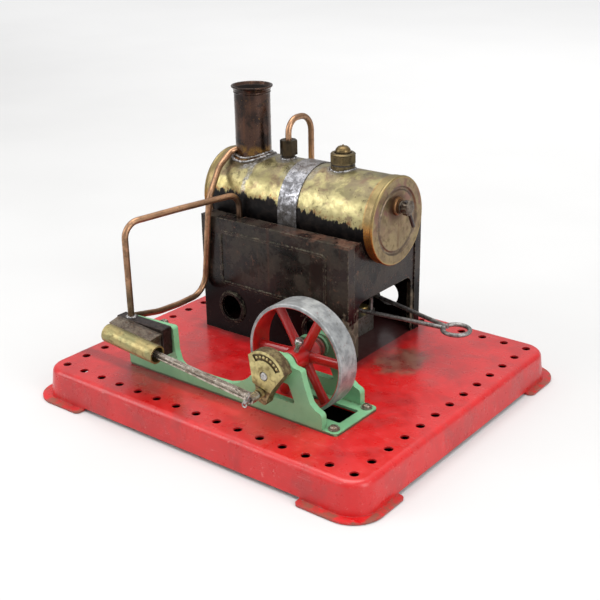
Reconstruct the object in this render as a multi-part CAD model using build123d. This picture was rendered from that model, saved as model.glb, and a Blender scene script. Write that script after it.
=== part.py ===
from build123d import *
import math
import os

# Model steam engine: an oscillating cylinder drives a flywheel beside a boiler on its firebox.
# Millimetres, +Z up, origin on the ground at the centre of the base's footprint.
# +X runs along the boiler towards the flywheel end, +Y from the engine side to the boiler side.
# "Front" is the engine side (-Y), "right" is +X.

# ---- driving dimensions ----
TOP = 15.8                      # top of the base above the ground
SHEET = 0.9                     # base sheet thickness
BOLT_HOLE_R = 1.35
FRAME_BOLTS = [(61.2, -52.6), (61.2, -27.4), (-59.0, -48.9), (-34.0, -48.9)]    # x, y
FRAME_Y0 = -56.5                # front face of the engine frame

SHAFT_X, SHAFT_Z, SHAFT_R = 34.2, TOP + 25.3, 2.0
THROW, PIN_DEG = 9.1, -104.1    # crank throw and the pin's rest angle
TRUNNION_X, TRUNNION_Z, TRUNNION_R = -46.0, TOP + 23.2, 1.5
CYL_Y, CYL_R, BORE_R = -73.5, 4.5, 3.7          # cylinder axis plane, outer and bore radius
PORT_OFFSET, PORT_R = -11.1, 0.65               # ports along the rod from the trunnion
PORT_X = TRUNNION_X + PORT_OFFSET

BOILER_Y, BOILER_Z, BOILER_R = 35.5, TOP + 69.6, 21.9
BOILER_X0, BOILER_X1 = -72.8, 35.6
SEAT_R = BOILER_R + 0.02        # what is fixed on the barrel is cut to this radius
CHIMNEY_X, VALVE_X, UNION_X = -56.0, 2.5, -32.2
PLUG_Y, PLUG_Z = 35.2, TOP + 77.4

BOX_X0, BOX_X1, BOX_Y0, BOX_Y1 = -66.0, 29.0, 3.0, 68.0     # firebox
BOX_H, BOX_T = 63.5, 0.6
TAB_X = (-52.0, -18.5, 15.0)    # fixing tabs of the firebox

PIPE_R, PIPE_BORE = 1.6, 1.0
STEAM_X, STEAM_Y = PORT_X + 0.3, -59.6
EXHAUST_X, EXHAUST_RISE = -60.8, 26.1
EXHAUST_Z = TOP + EXHAUST_RISE

# pipe runs: x, y, height above the base top, bend radius
STEAM_RUN = [
    (STEAM_X, STEAM_Y, 26.5, 0), (PORT_X + 0.1, STEAM_Y, 76.0, 8), (-52.0, -28.0, 76.2, 60),
    (-46.2, 10.6, 75.6, 6.5), (-45.2, 10.3, 41.5, 14), (-38.6, 33.0, 40.6, 24),
    (-32.2, 61.2, 41.4, 18), (-32.2, 61.2, 72.5, 16), (-32.2, 54.6, 84.5, 16),
    (-32.2, 54.6, 111.4, 9.4), (-32.2, 35.5, 111.4, 9.4), (-32.2, 35.5, 96.1, 0)]
EXHAUST_RUN = [
    (EXHAUST_X, -58.3, EXHAUST_RISE, 0), (EXHAUST_X, -53.5, EXHAUST_RISE, 14),
    (-62.0, -36.0, 22.0, 40), (-63.0, -20.0, 20.6, 60), (-64.4, 1.2, 20.4, 10.5),
    (-58.2, 1.2, 73.5, 12), (-62.6, 15.0, 86.8, 16), (-63.2, 25.5, 92.6, 6),
    (-61.2, 28.9, 93.6, 0)]

# the rod runs from the trunnion to the crank pin
pin_dx = SHAFT_X + THROW * math.cos(math.radians(PIN_DEG)) - TRUNNION_X
pin_dz = SHAFT_Z + THROW * math.sin(math.radians(PIN_DEG)) - TRUNNION_Z
ROD_LEN = math.hypot(pin_dx, pin_dz)
TILT = math.degrees(math.atan2(-pin_dz, pin_dx))

PIECES = {}


def piece(make):
    """Register a function whose result is exported under the function's name."""
    PIECES[make.__name__] = make
    return make


# ---- helpers ----
def box(x0, x1, y0, y1, z0, z1):
    centre = Pos((x0 + x1) / 2, (y0 + y1) / 2, (z0 + z1) / 2)
    return centre * Box(abs(x1 - x0), abs(y1 - y0), abs(z1 - z0))


def cyl_x(y, z, x0, x1, radius):
    return Pos((x0 + x1) / 2, y, z) * Rot(0, 90, 0) * Cylinder(radius, abs(x1 - x0))


def cyl_y(x, z, y0, y1, radius):
    return Pos(x, (y0 + y1) / 2, z) * Rot(90, 0, 0) * Cylinder(radius, abs(y1 - y0))


def cyl_z(x, y, z0, z1, radius):
    return Pos(x, y, (z0 + z1) / 2) * Cylinder(radius, abs(z1 - z0))


def corner_arc(before, corner, after, radius, reach):
    """Start, middle and end of a corner's arc; reach is the share of a side it may use."""
    back, ahead = before - corner, after - corner
    back_dir, ahead_dir = back.normalized(), ahead.normalized()
    half = math.acos(max(-1.0, min(1.0, back_dir.dot(ahead_dir)))) / 2
    setback = min(radius / math.tan(half), reach * back.length, reach * ahead.length)
    radius = setback * math.tan(half)
    inward = (back_dir + ahead_dir).normalized()
    middle = corner + inward * (radius / math.sin(half) - radius)
    return corner + back_dir * setback, middle, corner + ahead_dir * setback


def outline(points, place):
    """Face from (a, b, corner radius) vertices, set in space by place(a, b)."""
    corners = [Vector(a, b) for a, b, _ in points]
    arcs = []
    for i, corner in enumerate(corners):
        before, after, radius = corners[i - 1], corners[(i + 1) % len(corners)], points[i][2]
        if radius <= 0 or (before - corner).get_angle(after - corner) > 178:
            arcs.append((corner, None, corner))
        else:
            arcs.append(corner_arc(before, corner, after, radius, 0.49))
    edges = []
    for i, (start, middle, end) in enumerate(arcs):
        if middle is not None:
            arc_points = [place(point.X, point.Y) for point in (start, middle, end)]
            edges.append(Edge.make_three_point_arc(*arc_points))
        following = arcs[(i + 1) % len(arcs)][0]
        if (following - end).length > 1e-6:
            edges.append(Edge.make_line(place(end.X, end.Y), place(following.X, following.Y)))
    return Face(Wire(edges))


def slab_x(points, x0, x1):
    """Extrude a (y, z, corner radius) outline along X."""
    x0, x1 = sorted((x0, x1))
    return extrude(outline(points, lambda a, b: (x0, a, b)), amount=x1 - x0, dir=(1, 0, 0))


def slab_y(points, y0, y1):
    """Extrude an (x, z, corner radius) outline along Y."""
    y0, y1 = sorted((y0, y1))
    return extrude(outline(points, lambda a, b: (a, y0, b)), amount=y1 - y0, dir=(0, 1, 0))


def slab_z(points, z0, z1):
    """Extrude an (x, y, corner radius) outline upwards."""
    return extrude(outline(points, lambda a, b: (a, b, z0)), amount=z1 - z0, dir=(0, 0, 1))


def turn_x(y, z, profile):
    """Revolve (x, radius, corner radius) vertices about an axis along X."""
    face = outline(profile, lambda a, b: (a, y, z + b))
    return revolve(face, Axis((0, y, z), (1, 0, 0)), 360)


def turn_y(x, z, profile):
    """Revolve (y, radius, corner radius) vertices about an axis along Y."""
    face = outline(profile, lambda a, b: (x + b, a, z))
    return revolve(face, Axis((x, 0, z), (0, 1, 0)), 360)


def turn_z(x, y, z, profile):
    """Revolve (radius, height above z, corner radius) vertices about a vertical axis."""
    face = outline(profile, lambda a, b: (x + a, y, z + b))
    return revolve(face, Axis((x, y, 0), (0, 0, 1)), 360)


def rect(a0, a1, b0, b1, radius):
    return [(a0, b0, radius), (a1, b0, radius), (a1, b1, radius), (a0, b1, radius)]


def ring_points(a, b, count, *radii):
    """Vertices around a circle, their distances cycling through radii."""
    points = []
    for k in range(count):
        angle, radius = 2 * math.pi * k / count, radii[k % len(radii)]
        points.append((a + radius * math.cos(angle), b + radius * math.sin(angle), 0.0))
    return points


def hexagon(x, y, z0, z1, across_flats):
    return slab_z(ring_points(x, y, 6, across_flats / math.sqrt(3)), z0, z1)


def lift(points):
    """Raise (a, height, radius) points from the base top to the ground frame."""
    return [(a, TOP + height, radius) for a, height, radius in points]


def lift_run(run):
    return [(x, y, TOP + z, radius) for x, y, z, radius in run]


def bent(run):
    """A path of straight lengths joined by arcs; run holds (x, y, z, bend radius)."""
    points = [Vector(*stop[:3]) for stop in run]
    edges, last = [], points[0]
    for i in range(1, len(points) - 1):
        start, middle, end = corner_arc(*points[i - 1:i + 2], run[i][3], 0.48)
        if (start - last).length > 1e-5:
            edges.append(Edge.make_line(last, start))
        edges.append(Edge.make_three_point_arc(start, middle, end))
        last = end
    edges.append(Edge.make_line(last, points[-1]))
    return Wire(edges)


def sweep_round(path, radius, **options):
    plane = Plane(origin=path @ 0, z_dir=path % 0)
    return sweep(plane * Circle(radius), path=path, **options)


def tube_path(run, radius, bore=0.0):
    path = bent(run)
    solid = sweep_round(path, radius)
    if bore > 0:
        solid = solid - sweep_round(path, bore)
    return solid


def wire_path(points, radius):
    return sweep_round(Polyline(*points), radius, transition=Transition.ROUND)


def spring(mean_radius, wire_radius, height, turns):
    helix = Helix(pitch=height / turns, height=height, radius=mean_radius)
    return sweep_round(helix, wire_radius, is_frenet=True)


def fuse_each(make, places):
    """Fuse the shapes that make(place) gives."""
    shapes = [make(place) for place in places]
    total = shapes[0]
    for shape in shapes[1:]:
        total = total + shape
    return total


# ---- pressed base ----
PITCH, HOLES_X, HOLES_Y, HOLE_R = 12.7, 15, 13, 2.1     # holes along the edges
WALL_X, WALL_Y = 99.3, 86.3     # half size of the wall, extended to the ground
DRAFT = 7.0                     # wall draft, degrees
CORNER_R, RIM_R = 13.0, 3.2     # corner radius in plan, rounding round the top
FOOT_X0, FOOT_Y0 = 67.5, 58.0   # where the corner feet begin
FOOT_X1, FOOT_Y1 = 102.7, 90.5  # half size over the feet
RAISE = 1.5                     # gap under the wall between the feet


def base_plan(inset):
    return RectangleRounded(2 * (WALL_X - inset), 2 * (WALL_Y - inset), CORNER_R - inset)


def base_block(inset):
    height = TOP - inset
    block = extrude(base_plan(inset), amount=height, taper=DRAFT)
    rim = block.edges().filter_by(lambda edge: abs(edge.center().Z - height) < 1e-4)
    return fillet(rim, RIM_R - inset)


def base_foot(signs):
    """Flat foot turned out at one corner."""
    corner = [(FOOT_X0, FOOT_Y1, 2.6), (FOOT_X1, FOOT_Y1, 15.0), (FOOT_X1, FOOT_Y0, 2.6),
              (WALL_X - 3, FOOT_Y0, 0.0), (WALL_X - 3, WALL_Y - 10, 0.0),
              (WALL_X - 10, WALL_Y - 3, 0.0), (FOOT_X0, WALL_Y - 3, 0.0)]
    foot = slab_z([(signs[0] * x, signs[1] * y, radius) for x, y, radius in corner], 0, SHEET)
    return foot - extrude(base_plan(SHEET), amount=SHEET)


@piece
def base_plate():
    shell = base_block(0) - base_block(SHEET)
    shell -= box(-FOOT_X0, FOOT_X0, -120, 120, -1, RAISE)
    shell -= box(-120, 120, -FOOT_Y0, FOOT_Y0, -1, RAISE)
    base = shell + fuse_each(base_foot, [(sx, sy) for sx in (-1, 1) for sy in (-1, 1)])
    edge_x, edge_y = (HOLES_X - 1) / 2 * PITCH, (HOLES_Y - 1) / 2 * PITCH
    holes = [(i * PITCH - edge_x, s * edge_y) for i in range(HOLES_X) for s in (-1, 1)]
    holes += [(s * edge_x, j * PITCH - edge_y) for j in range(1, HOLES_Y - 1) for s in (-1, 1)]
    cut = Sketch() + [Pos(x, y) * Circle(HOLE_R) for x, y in holes]
    cut += [Pos(x, y) * Circle(BOLT_HOLE_R) for x, y in FRAME_BOLTS]
    base -= extrude(Pos(0, 0, TOP - 3) * cut, amount=5)
    # opening under the flywheel, then slots for the firebox tabs
    base -= box(8.0, 60.3, -47.0, -31.7, TOP - 3, TOP + 1)
    for x in TAB_X:
        for y in (BOX_Y0 + BOX_T / 2, BOX_Y1 - BOX_T / 2):
            base -= box(x - 2.7, x + 2.7, y - 0.4, y + 0.4, TOP - 3, TOP + 1)
    return base


# ---- engine frame casting ----
BED_T = 1.3
WASHER_T = 0.5
BLOCK_SCREWS = [(-37.2, TOP + 18.6), (-59.6, TOP + 17.4)]       # x, z

# x, y, corner radius
BED = [(-64, FRAME_Y0, 2.0), (65.2, FRAME_Y0, 2.5), (65.2, -23.7, 2.5), (9, -23.7, 2.5),
       (4, -45.0, 3.0), (-64, -45.0, 2.5)]
# wall outlines: x, height above the base top, corner radius
WALL_FOOT = 0.6
BEARING_RIGHT = [(57.4, 8.3, 2.4), (54.0, 9.6, 2.0), (50.9, 12.0, 4.0), (47.0, 22.5, 6.0),
                 (46.2, 26.8, 1.4), (41.3, 27.2, 3.0), (38.5, 31.3, 4.2)]
BEARING_LEFT = [(2 * SHAFT_X - x, z, radius) for x, z, radius in reversed(BEARING_RIGHT)]
FRONT_LEFT = [(29.9, 31.3, 4.2), (26.9, 27.3, 3.0), (22.4, 26.6, 2.0), (18.6, 18.5, 8.0),
              (13.8, 13.4, 6.0), (8.4, 10.0, 5.0), (2.5, 8.0, 5.0), (-8.0, 7.4, 5.0),
              (-23.0, 7.7, 6.0), (-29.2, 9.0, 4.5), (-31.2, 16.0, 6.0), (-31.8, 28.0, 1.6),
              (-36.5, 27.6, 3.0), (-50.0, 26.9, 0.0), (-63.6, 26.2, 1.8)]
FRONT_WALL = [(-63.6, WALL_FOOT, 0.0), (57.4, WALL_FOOT, 0.0)] + BEARING_RIGHT + FRONT_LEFT
REAR_WALL = [(11.0, WALL_FOOT, 0.0), (57.4, WALL_FOOT, 0.0)] + BEARING_RIGHT + BEARING_LEFT
WINDOW = [(26.0, 9.6, 1.2), (42.6, 9.6, 1.2), (38.8, 18.4, 1.2), (29.8, 18.4, 1.2)]


@piece
def engine_frame():
    frame = slab_z(BED, TOP, TOP + BED_T)
    frame += slab_y(lift(FRONT_WALL), FRAME_Y0, -53.0)
    frame += slab_y(lift(REAR_WALL), -27.0, -23.5)
    # bearing bosses, windows below them and the shaft bores
    frame += cyl_y(SHAFT_X, SHAFT_Z, -61.6, -51.2, 5.3) + cyl_y(SHAFT_X, SHAFT_Z, -28.4, -21.2, 5.3)
    frame -= slab_y(lift(WINDOW), -57, -52.5) + slab_y(lift(WINDOW), -27.5, -23)
    bearing_r = SHAFT_R + 0.03
    frame -= (cyl_y(SHAFT_X, SHAFT_Z, -62, -50, bearing_r)
              + cyl_y(SHAFT_X, SHAFT_Z, -29, -20, bearing_r))
    frame -= slab_z(rect(8.3, 60.0, -46.7, -32.0, 1.0), TOP - 1, TOP + 4)
    for x, y in FRAME_BOLTS:
        frame -= cyl_z(x, y, TOP - 1, TOP + 4, BOLT_HOLE_R)
    frame -= cyl_y(TRUNNION_X, TRUNNION_Z, -57, -52.5, TRUNNION_R + 0.1)
    # open-topped notch for the exhaust pipe
    notch_r = PIPE_R + 0.2
    frame -= (cyl_y(EXHAUST_X, EXHAUST_Z, -57, -52.5, notch_r)
              + box(EXHAUST_X - notch_r, EXHAUST_X + notch_r, -57, -52.5, EXHAUST_Z, TOP + 30))
    for x, z in BLOCK_SCREWS:
        frame -= cyl_y(x, z, -57, -52.5, 1.25)
    return frame


@piece
def frame_screws():
    """Slotted round-headed screws."""
    head = BED_T + WASHER_T
    profile = [(0, -5.0, 0), (1.3, -5.0, 0.2), (1.3, head, 0), (2.05, head, 0.1),
               (1.95, head + 1.1, 0.7), (0, head + 1.45, 0)]

    def screw(place):
        x, y = place
        slot = box(x - 3, x + 3, y - 0.25, y + 0.25, TOP + head + 0.75, TOP + head + 2)
        return turn_z(x, y, TOP, profile) - slot
    return fuse_each(screw, FRAME_BOLTS)


@piece
def frame_washers():
    bottom = TOP + BED_T
    return fuse_each(lambda place: cyl_z(*place, bottom, bottom + WASHER_T, 2.65)
                     - cyl_z(*place, TOP, TOP + 4, 1.4), FRAME_BOLTS)


@piece
def frame_nuts():
    under = TOP - SHEET
    return fuse_each(lambda place: hexagon(*place, under - 2.2, under, 4.6)
                     - cyl_z(*place, TOP - 4, TOP, 1.3), FRAME_BOLTS)


# ---- port block ----
BLOCK_Y0 = -62.7
STEAM_PORT_Z, EXHAUST_PORT_Z = TRUNNION_Z + 1.6, TRUNNION_Z - 1.6
PASSAGE_Y = -60.4               # exhaust passage inside the block


@piece
def port_block():
    block = box(-64.0, -32.5, BLOCK_Y0, FRAME_Y0, TOP + 14.5, TOP + 28.5)
    block = chamfer(block.edges(), 0.35)
    block -= cyl_y(TRUNNION_X, TRUNNION_Z, -64, -56, TRUNNION_R + 0.03)
    # steam passage and pipe socket
    block -= cyl_y(PORT_X, STEAM_PORT_Z, -64, STEAM_Y, PORT_R)
    block -= cyl_z(STEAM_X, STEAM_Y, STEAM_PORT_Z, TOP + 30, PIPE_BORE)
    block -= cyl_z(STEAM_X, STEAM_Y, TOP + 26.5, TOP + 30, PIPE_R + 0.02)
    # exhaust passage: in, sideways, up, out to its socket
    block -= cyl_y(PORT_X, EXHAUST_PORT_Z, -64, PASSAGE_Y, PORT_R)
    block -= cyl_x(PASSAGE_Y, EXHAUST_PORT_Z, EXHAUST_X, PORT_X, PORT_R)
    block -= cyl_z(EXHAUST_X, PASSAGE_Y, EXHAUST_PORT_Z - PORT_R, EXHAUST_Z, PORT_R)
    block -= cyl_y(EXHAUST_X, EXHAUST_Z, -61.0, -56, PIPE_BORE)
    block -= cyl_y(EXHAUST_X, EXHAUST_Z, -58.4, -56, PIPE_R)
    for x, z in BLOCK_SCREWS:
        block -= cyl_y(x, z, -60.0, -56, 1.2)
    return block


@piece
def port_block_screws():
    def screw(place):
        x, z = place
        shape = cyl_y(x, z, -59.8, -53.0, 1.2) + cyl_y(x, z, -53.0, -51.5, 2.2)
        return shape - box(x - 3, x + 3, -52.2, -51, z - 0.3, z + 0.3)
    return fuse_each(screw, BLOCK_SCREWS)


# ---- oscillating cylinder: drawn with x along the rod from the trunnion, then tilted ----
TUBE_X0, TUBE_X1 = -12.9, 20.4
FACE_Y = BLOCK_Y0 - 0.05        # rubbing face against the port block
TRUNNION_Y0 = -66.2
WASHER_Y, NUT_Y = -49.45, -49.0
PISTON_X0, PISTON_X1 = -4.2, 5.0
ROD_R = 1.4
PIN_Y0, PIN_R = -78.6, 1.0
CLIP_Y = -77.0
WEB_Y0, WEB_Y1, BOSS_Y0 = -67.9, -61.9, -69.2   # crank web faces and its boss's front


def on_rod(shape):
    return Pos(TRUNNION_X, 0, TRUNNION_Z) * Rot(0, TILT, 0) * shape


@piece
def cylinder_tube():
    tube = cyl_x(CYL_Y, 0, TUBE_X0, TUBE_X1, CYL_R)
    tube -= cyl_x(CYL_Y, 0, TUBE_X0 - 1, TUBE_X1 + 1, BORE_R)
    return on_rod(tube - cyl_y(PORT_OFFSET, 0, -71, -68, PORT_R))


@piece
def cylinder_end_plug():
    plug = cyl_x(CYL_Y, 0, TUBE_X0, TUBE_X0 + 1.4, BORE_R)
    outer_edge = plug.edges().filter_by(lambda edge: edge.center().X < TUBE_X0 + 0.1)
    return on_rod(chamfer(outer_edge, 0.3))


@piece
def cylinder_port_face():
    section = [(FACE_Y, -4.5, 0.5), (FACE_Y, 4.5, 0.5), (-64.9, 4.5, 0.6), (-70.1, 3.35, 0),
               (-72.6, 0, 0), (-70.1, -3.35, 0), (-64.9, -4.5, 0.6)]
    saddle = slab_x(section, -15.7, 13.3)
    saddle -= cyl_x(CYL_Y, 0, -20, 25, CYL_R)
    saddle -= cyl_y(PORT_OFFSET, 0, -71, -62, PORT_R)
    saddle -= cyl_y(18.6, 0.8, -73, -60, 6.6)
    saddle -= cyl_y(0, 0, TRUNNION_Y0, -62, TRUNNION_R)
    return on_rod(saddle)


@piece
def trunnion_pin():
    pin = cyl_y(0, 0, TRUNNION_Y0, -46.4, TRUNNION_R)
    return on_rod(chamfer(pin.edges(), 0.25))


@piece
def trunnion_spring():
    coil = spring(mean_radius=1.87, wire_radius=0.24, height=2.75, turns=4)
    return on_rod(Pos(0, -49.75, 0) * Rot(90, 0, 0) * coil)


@piece
def trunnion_washer():
    return on_rod(cyl_y(0, 0, WASHER_Y, NUT_Y, 2.5) - cyl_y(0, 0, -50, -48, TRUNNION_R + 0.02))


@piece
def trunnion_nut():
    nut = slab_y(ring_points(0, 0, 6, 2.6), NUT_Y, NUT_Y + 1.9)
    return on_rod(nut - cyl_y(0, 0, -50, -46, TRUNNION_R))


@piece
def piston():
    """Piston with two oil grooves and a blind hole for the rod."""
    shape = cyl_x(CYL_Y, 0, PISTON_X0, PISTON_X1, BORE_R - 0.04)
    for groove in (-2.0, 2.0):
        shape -= (cyl_x(CYL_Y, 0, groove - 0.35, groove + 0.35, 5)
                  - cyl_x(CYL_Y, 0, groove - 0.4, groove + 0.4, BORE_R - 0.4))
    return on_rod(shape - cyl_x(CYL_Y, 0, -1.0, PISTON_X1 + 1, ROD_R))


@piece
def piston_rod():
    """Rod with a fluted tapering shank and an eye for the crank pin."""
    shank = [(7.0, -1.2, 0.4), (20.0, -1.25, 0), (ROD_LEN, -1.85, 0),
             (ROD_LEN, 1.85, 0), (20.0, 1.25, 0), (7.0, 1.2, 0.4)]
    flute_end = ROD_LEN - 3.4
    flute = [(13.0, -0.5, 0.4), (flute_end, -0.95, 0.7), (flute_end, 0.95, 0.7), (13.0, 0.5, 0.4)]
    rod = cyl_x(CYL_Y, 0, -1.0, 9.0, ROD_R)
    rod += slab_y(shank, CYL_Y - 1.2, CYL_Y + 1.2)
    for side in (-1, 1):
        rod -= slab_y(flute, CYL_Y + side * 2, CYL_Y + side * 0.5)
    rod += cyl_y(ROD_LEN, 0, CYL_Y - 1.9, CYL_Y + 2.0, 2.35)
    rod -= cyl_y(ROD_LEN, 0, CYL_Y - 3, CYL_Y + 3, PIN_R)
    rod -= cyl_y(ROD_LEN, 0, CYL_Y - 3, CYL_Y - 0.9, 1.55)
    return on_rod(rod)


@piece
def crank_pin():
    shoulder = CYL_Y + 2.0
    pin = cyl_y(ROD_LEN, 0, PIN_Y0, shoulder, PIN_R)
    pin += cyl_y(ROD_LEN, 0, shoulder, BOSS_Y0 - 0.25, 1.25)
    pin += cyl_y(ROD_LEN, 0, shoulder, shoulder + 1.2, 2.0)
    pin = chamfer(pin.edges().filter_by(lambda edge: edge.center().Y < PIN_Y0 + 0.1), 0.25)
    pin -= Pos(ROD_LEN, CLIP_Y, 0) * Rot(0, 25, 0) * Cylinder(0.42, 8)
    return on_rod(pin)


@piece
def crank_pin_clip():
    """Split pin: straight leg, ring and one splayed tail."""
    leg = wire_path([(0.0, 0, -4.4), (0.0, 0, 1.6)], 0.4)
    ring = Pos(0.0, 0, 2.7) * Rot(90, 0, 0) * Torus(1.1, 0.4)
    tail = wire_path([(0.0, 0, -3.4), (1.0, 0, -4.7)], 0.3)
    return on_rod(Pos(ROD_LEN, CLIP_Y, 0) * Rot(0, 205, 0) * (leg + ring + tail))


# ---- crankshaft, crank web, flywheel, pulley ----
@piece
def crankshaft():
    shaft = cyl_y(SHAFT_X, SHAFT_Z, WEB_Y0, -18.0, SHAFT_R)
    return chamfer(shaft.edges(), 0.3)


@piece
def crank_web():
    """Drawn about the shaft with the crank pin straight below, then turned to the rest angle."""
    body = [(10.3, 6.0, 0), (10.3, 14, 0), (-10.3, 14, 0), (-10.3, 6.0, 0),
            (-6.3, -3.0, 5.0), (-3.9, -9.1, 0), (3.9, -9.1, 0), (6.3, -3.0, 5.0)]
    tip = [(-3.9, -9.0, 0), (-3.6, -14.6, 1.6), (3.2, -14.8, 1.2), (3.9, -9.0, 0)]
    sector = [(0, 0, 0), (14, 12.2, 0), (0, 20, 0), (-14, 12.2, 0)]
    recess = WEB_Y0 + 0.6
    web = slab_y(body, WEB_Y0, WEB_Y1)
    web = web & cyl_y(0, 0, WEB_Y0 - 1, WEB_Y1 + 1, 11.9)
    web += cyl_y(0, -THROW, WEB_Y0, WEB_Y1, 3.9) + slab_y(tip, WEB_Y0, WEB_Y1)
    web -= box(-6, 6, WEB_Y0 - 1, WEB_Y0 + 1.4, -20, -6.1)
    web += cyl_y(0, -THROW, BOSS_Y0, WEB_Y1 - 1, 2.35)
    web -= cyl_y(0, -THROW, BOSS_Y0 - 1, WEB_Y1 + 1, 1.45)
    # curved recess with a row of beads
    band = cyl_y(0, 0, WEB_Y0 - 1, recess, 10.7) - cyl_y(0, 0, WEB_Y0 - 2, WEB_Y0 + 2, 7.5)
    band = band & slab_y(sector, WEB_Y0 - 2, WEB_Y0 + 2)
    web -= band
    for k in range(-3, 4):
        angle = math.radians(90 + k * 13.0)
        web += Pos(9.1 * math.cos(angle), recess, 9.1 * math.sin(angle)) * Sphere(0.75)
    web -= cyl_y(0, 0, WEB_Y0 - 2, WEB_Y1 + 2, SHAFT_R)
    web -= Pos(0, WEB_Y0 + 0.15, 0) * Rot(90, 0, 0) * Cone(SHAFT_R, SHAFT_R + 0.45, 0.8)
    return Pos(SHAFT_X, 0, SHAFT_Z) * Rot(0, -(PIN_DEG + 90.0), 0) * web


WHEEL_R, WHEEL_RIN, WHEEL_Y0, WHEEL_Y1 = 26.4, 24.3, -46.0, -34.0
SPOKES, FIRST_SPOKE_DEG = 6, 2.0
# distance from the shaft axis, half size along the shaft, half size around the wheel
SPOKE_STATIONS = [(3.0, 2.2, 2.9), (13.0, 1.7, 2.35), (WHEEL_RIN + 0.6, 2.0, 2.7)]
GRUB_Y, GRUB_R = -46.8, 1.1


def on_grub(shape):
    return Pos(SHAFT_X, 0, SHAFT_Z) * Rot(0, 20, 0) * shape


@piece
def flywheel():
    wheel = turn_y(SHAFT_X, SHAFT_Z, [
        (WHEEL_Y0, WHEEL_RIN, 0.5), (WHEEL_Y0, WHEEL_R, 0.5),
        (WHEEL_Y1, WHEEL_R, 0.5), (WHEEL_Y1, WHEEL_RIN, 0.5)])
    wheel += turn_y(SHAFT_X, SHAFT_Z, [
        (-50.3, 0, 0), (-50.3, 5.1, 0.6), (-44.0, 5.5, 0), (-33.2, 5.5, 0.6), (-33.2, 0, 0)])
    spoke = loft([Plane(origin=(distance, 0, 0), z_dir=(1, 0, 0), x_dir=(0, 1, 0))
                  * Ellipse(along, around) for distance, along, around in SPOKE_STATIONS])
    middle = Pos(SHAFT_X, (WHEEL_Y0 + WHEEL_Y1) / 2, SHAFT_Z)
    for k in range(SPOKES):
        wheel += middle * Rot(0, -(FIRST_SPOKE_DEG + 360 / SPOKES * k), 0) * spoke
    wheel -= cyl_y(SHAFT_X, SHAFT_Z, -52, -32, SHAFT_R)
    return wheel - on_grub(cyl_z(0, GRUB_Y, 1.0, 8, GRUB_R))


@piece
def flywheel_grub_screw():
    grub = turn_z(0, GRUB_Y, 0, [
        (0, SHAFT_R, 0), (GRUB_R, SHAFT_R, 0.2), (GRUB_R, 9.4, 0), (1.9, 9.4, 0.15),
        (2.1, 10.3, 0.2), (2.0, 11.8, 0.5), (0, 12.3, 0)])
    return on_grub(grub - box(-3, 3, GRUB_Y - 0.3, GRUB_Y + 0.3, 11.2, 14))


@piece
def drive_pulley():
    pulley = turn_y(SHAFT_X, SHAFT_Z, [
        (-32.9, 0, 0), (-32.9, 4.7, 0.3), (-31.9, 4.7, 0.2), (-30.9, 3.5, 0.3),
        (-29.9, 4.7, 0.2), (-28.9, 4.7, 0.3), (-28.9, 0, 0)])
    return pulley - cyl_y(SHAFT_X, SHAFT_Z, -34, -28, SHAFT_R)


# ---- boiler ----
BUSH_R, VALVE_BUSH_R, PLUG_BUSH_R = 2.6, 3.6, 2.9


def boiler_cyl(x0, x1, radius):
    return cyl_x(BOILER_Y, BOILER_Z, x0, x1, radius)


def on_boiler(x, shape):
    """Set a fitting, drawn with z = 0 on the boiler axis, at its place along the boiler."""
    return Pos(x, BOILER_Y, BOILER_Z) * shape


@piece
def boiler_barrel():
    barrel = boiler_cyl(BOILER_X0 + 1.3, BOILER_X1 - 1.3, BOILER_R)
    barrel -= boiler_cyl(BOILER_X0 - 1, BOILER_X1 + 1, BOILER_R - 0.6)
    return barrel - (on_boiler(UNION_X, cyl_z(0, 0, 10, 30, BUSH_R))
                     + on_boiler(VALVE_X, cyl_z(0, 0, 10, 30, VALVE_BUSH_R)))


def boiler_cap(end_x, outward):
    """Flanged end cap with a pressed ring; outward is +1 for the right end, -1 for the left."""
    cap_r = 22.3
    # distance outwards from the end, radius, corner radius
    profile = [
        (-5.2, SEAT_R, 0.0), (-5.2, cap_r, 0.15), (-1.5, cap_r, 0.2), (-1.0, cap_r + 0.25, 0.2),
        (0, cap_r + 0.1, 0.6), (0, 17.4, 0.3), (-0.8, 16.8, 0.2), (-0.8, 15.9, 0.2),
        (-0.3, 15.3, 0.3), (-0.3, 0, 0), (-0.8, 0, 0), (-0.8, 14.9, 0.2), (-1.25, 15.5, 0.15),
        (-1.25, 17.2, 0.15), (-0.5, 17.9, 0.2), (-0.5, SEAT_R, 0.3)]
    return turn_x(BOILER_Y, BOILER_Z, [(end_x + outward * a, b, r) for a, b, r in profile])


@piece
def boiler_cap_right():
    return boiler_cap(BOILER_X1, 1) - cyl_x(PLUG_Y, PLUG_Z, 30, 40, PLUG_BUSH_R)


@piece
def boiler_cap_left():
    return boiler_cap(BOILER_X0, -1)


@piece
def boiler_strap():
    """Strap over the barrel and down inside both long panels, its feet turned out to them."""
    x0, x1, thick = -22.5, -10.5, 0.5
    inner_r = BOILER_R + 0.05
    strap = boiler_cyl(x0, x1, inner_r + thick) - boiler_cyl(x0 - 1, x1 + 1, inner_r)
    strap -= box(x0 - 1, x1 + 1, BOILER_Y - 40, BOILER_Y + 40, BOILER_Z - 40, BOILER_Z)
    for side, panel_y in ((-1, BOX_Y0 + BOX_T), (1, BOX_Y1 - BOX_T)):
        inner_y = BOILER_Y + side * inner_r
        strap += box(x0, x1, inner_y, inner_y + side * thick, TOP + 48.0, BOILER_Z)
        strap += box(x0, x1, panel_y, inner_y, TOP + 47.5, TOP + 48.0)
        strap += box(x0, x1, panel_y, panel_y - side * thick, TOP + 42.0, TOP + 48.0)
    return strap


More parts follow.
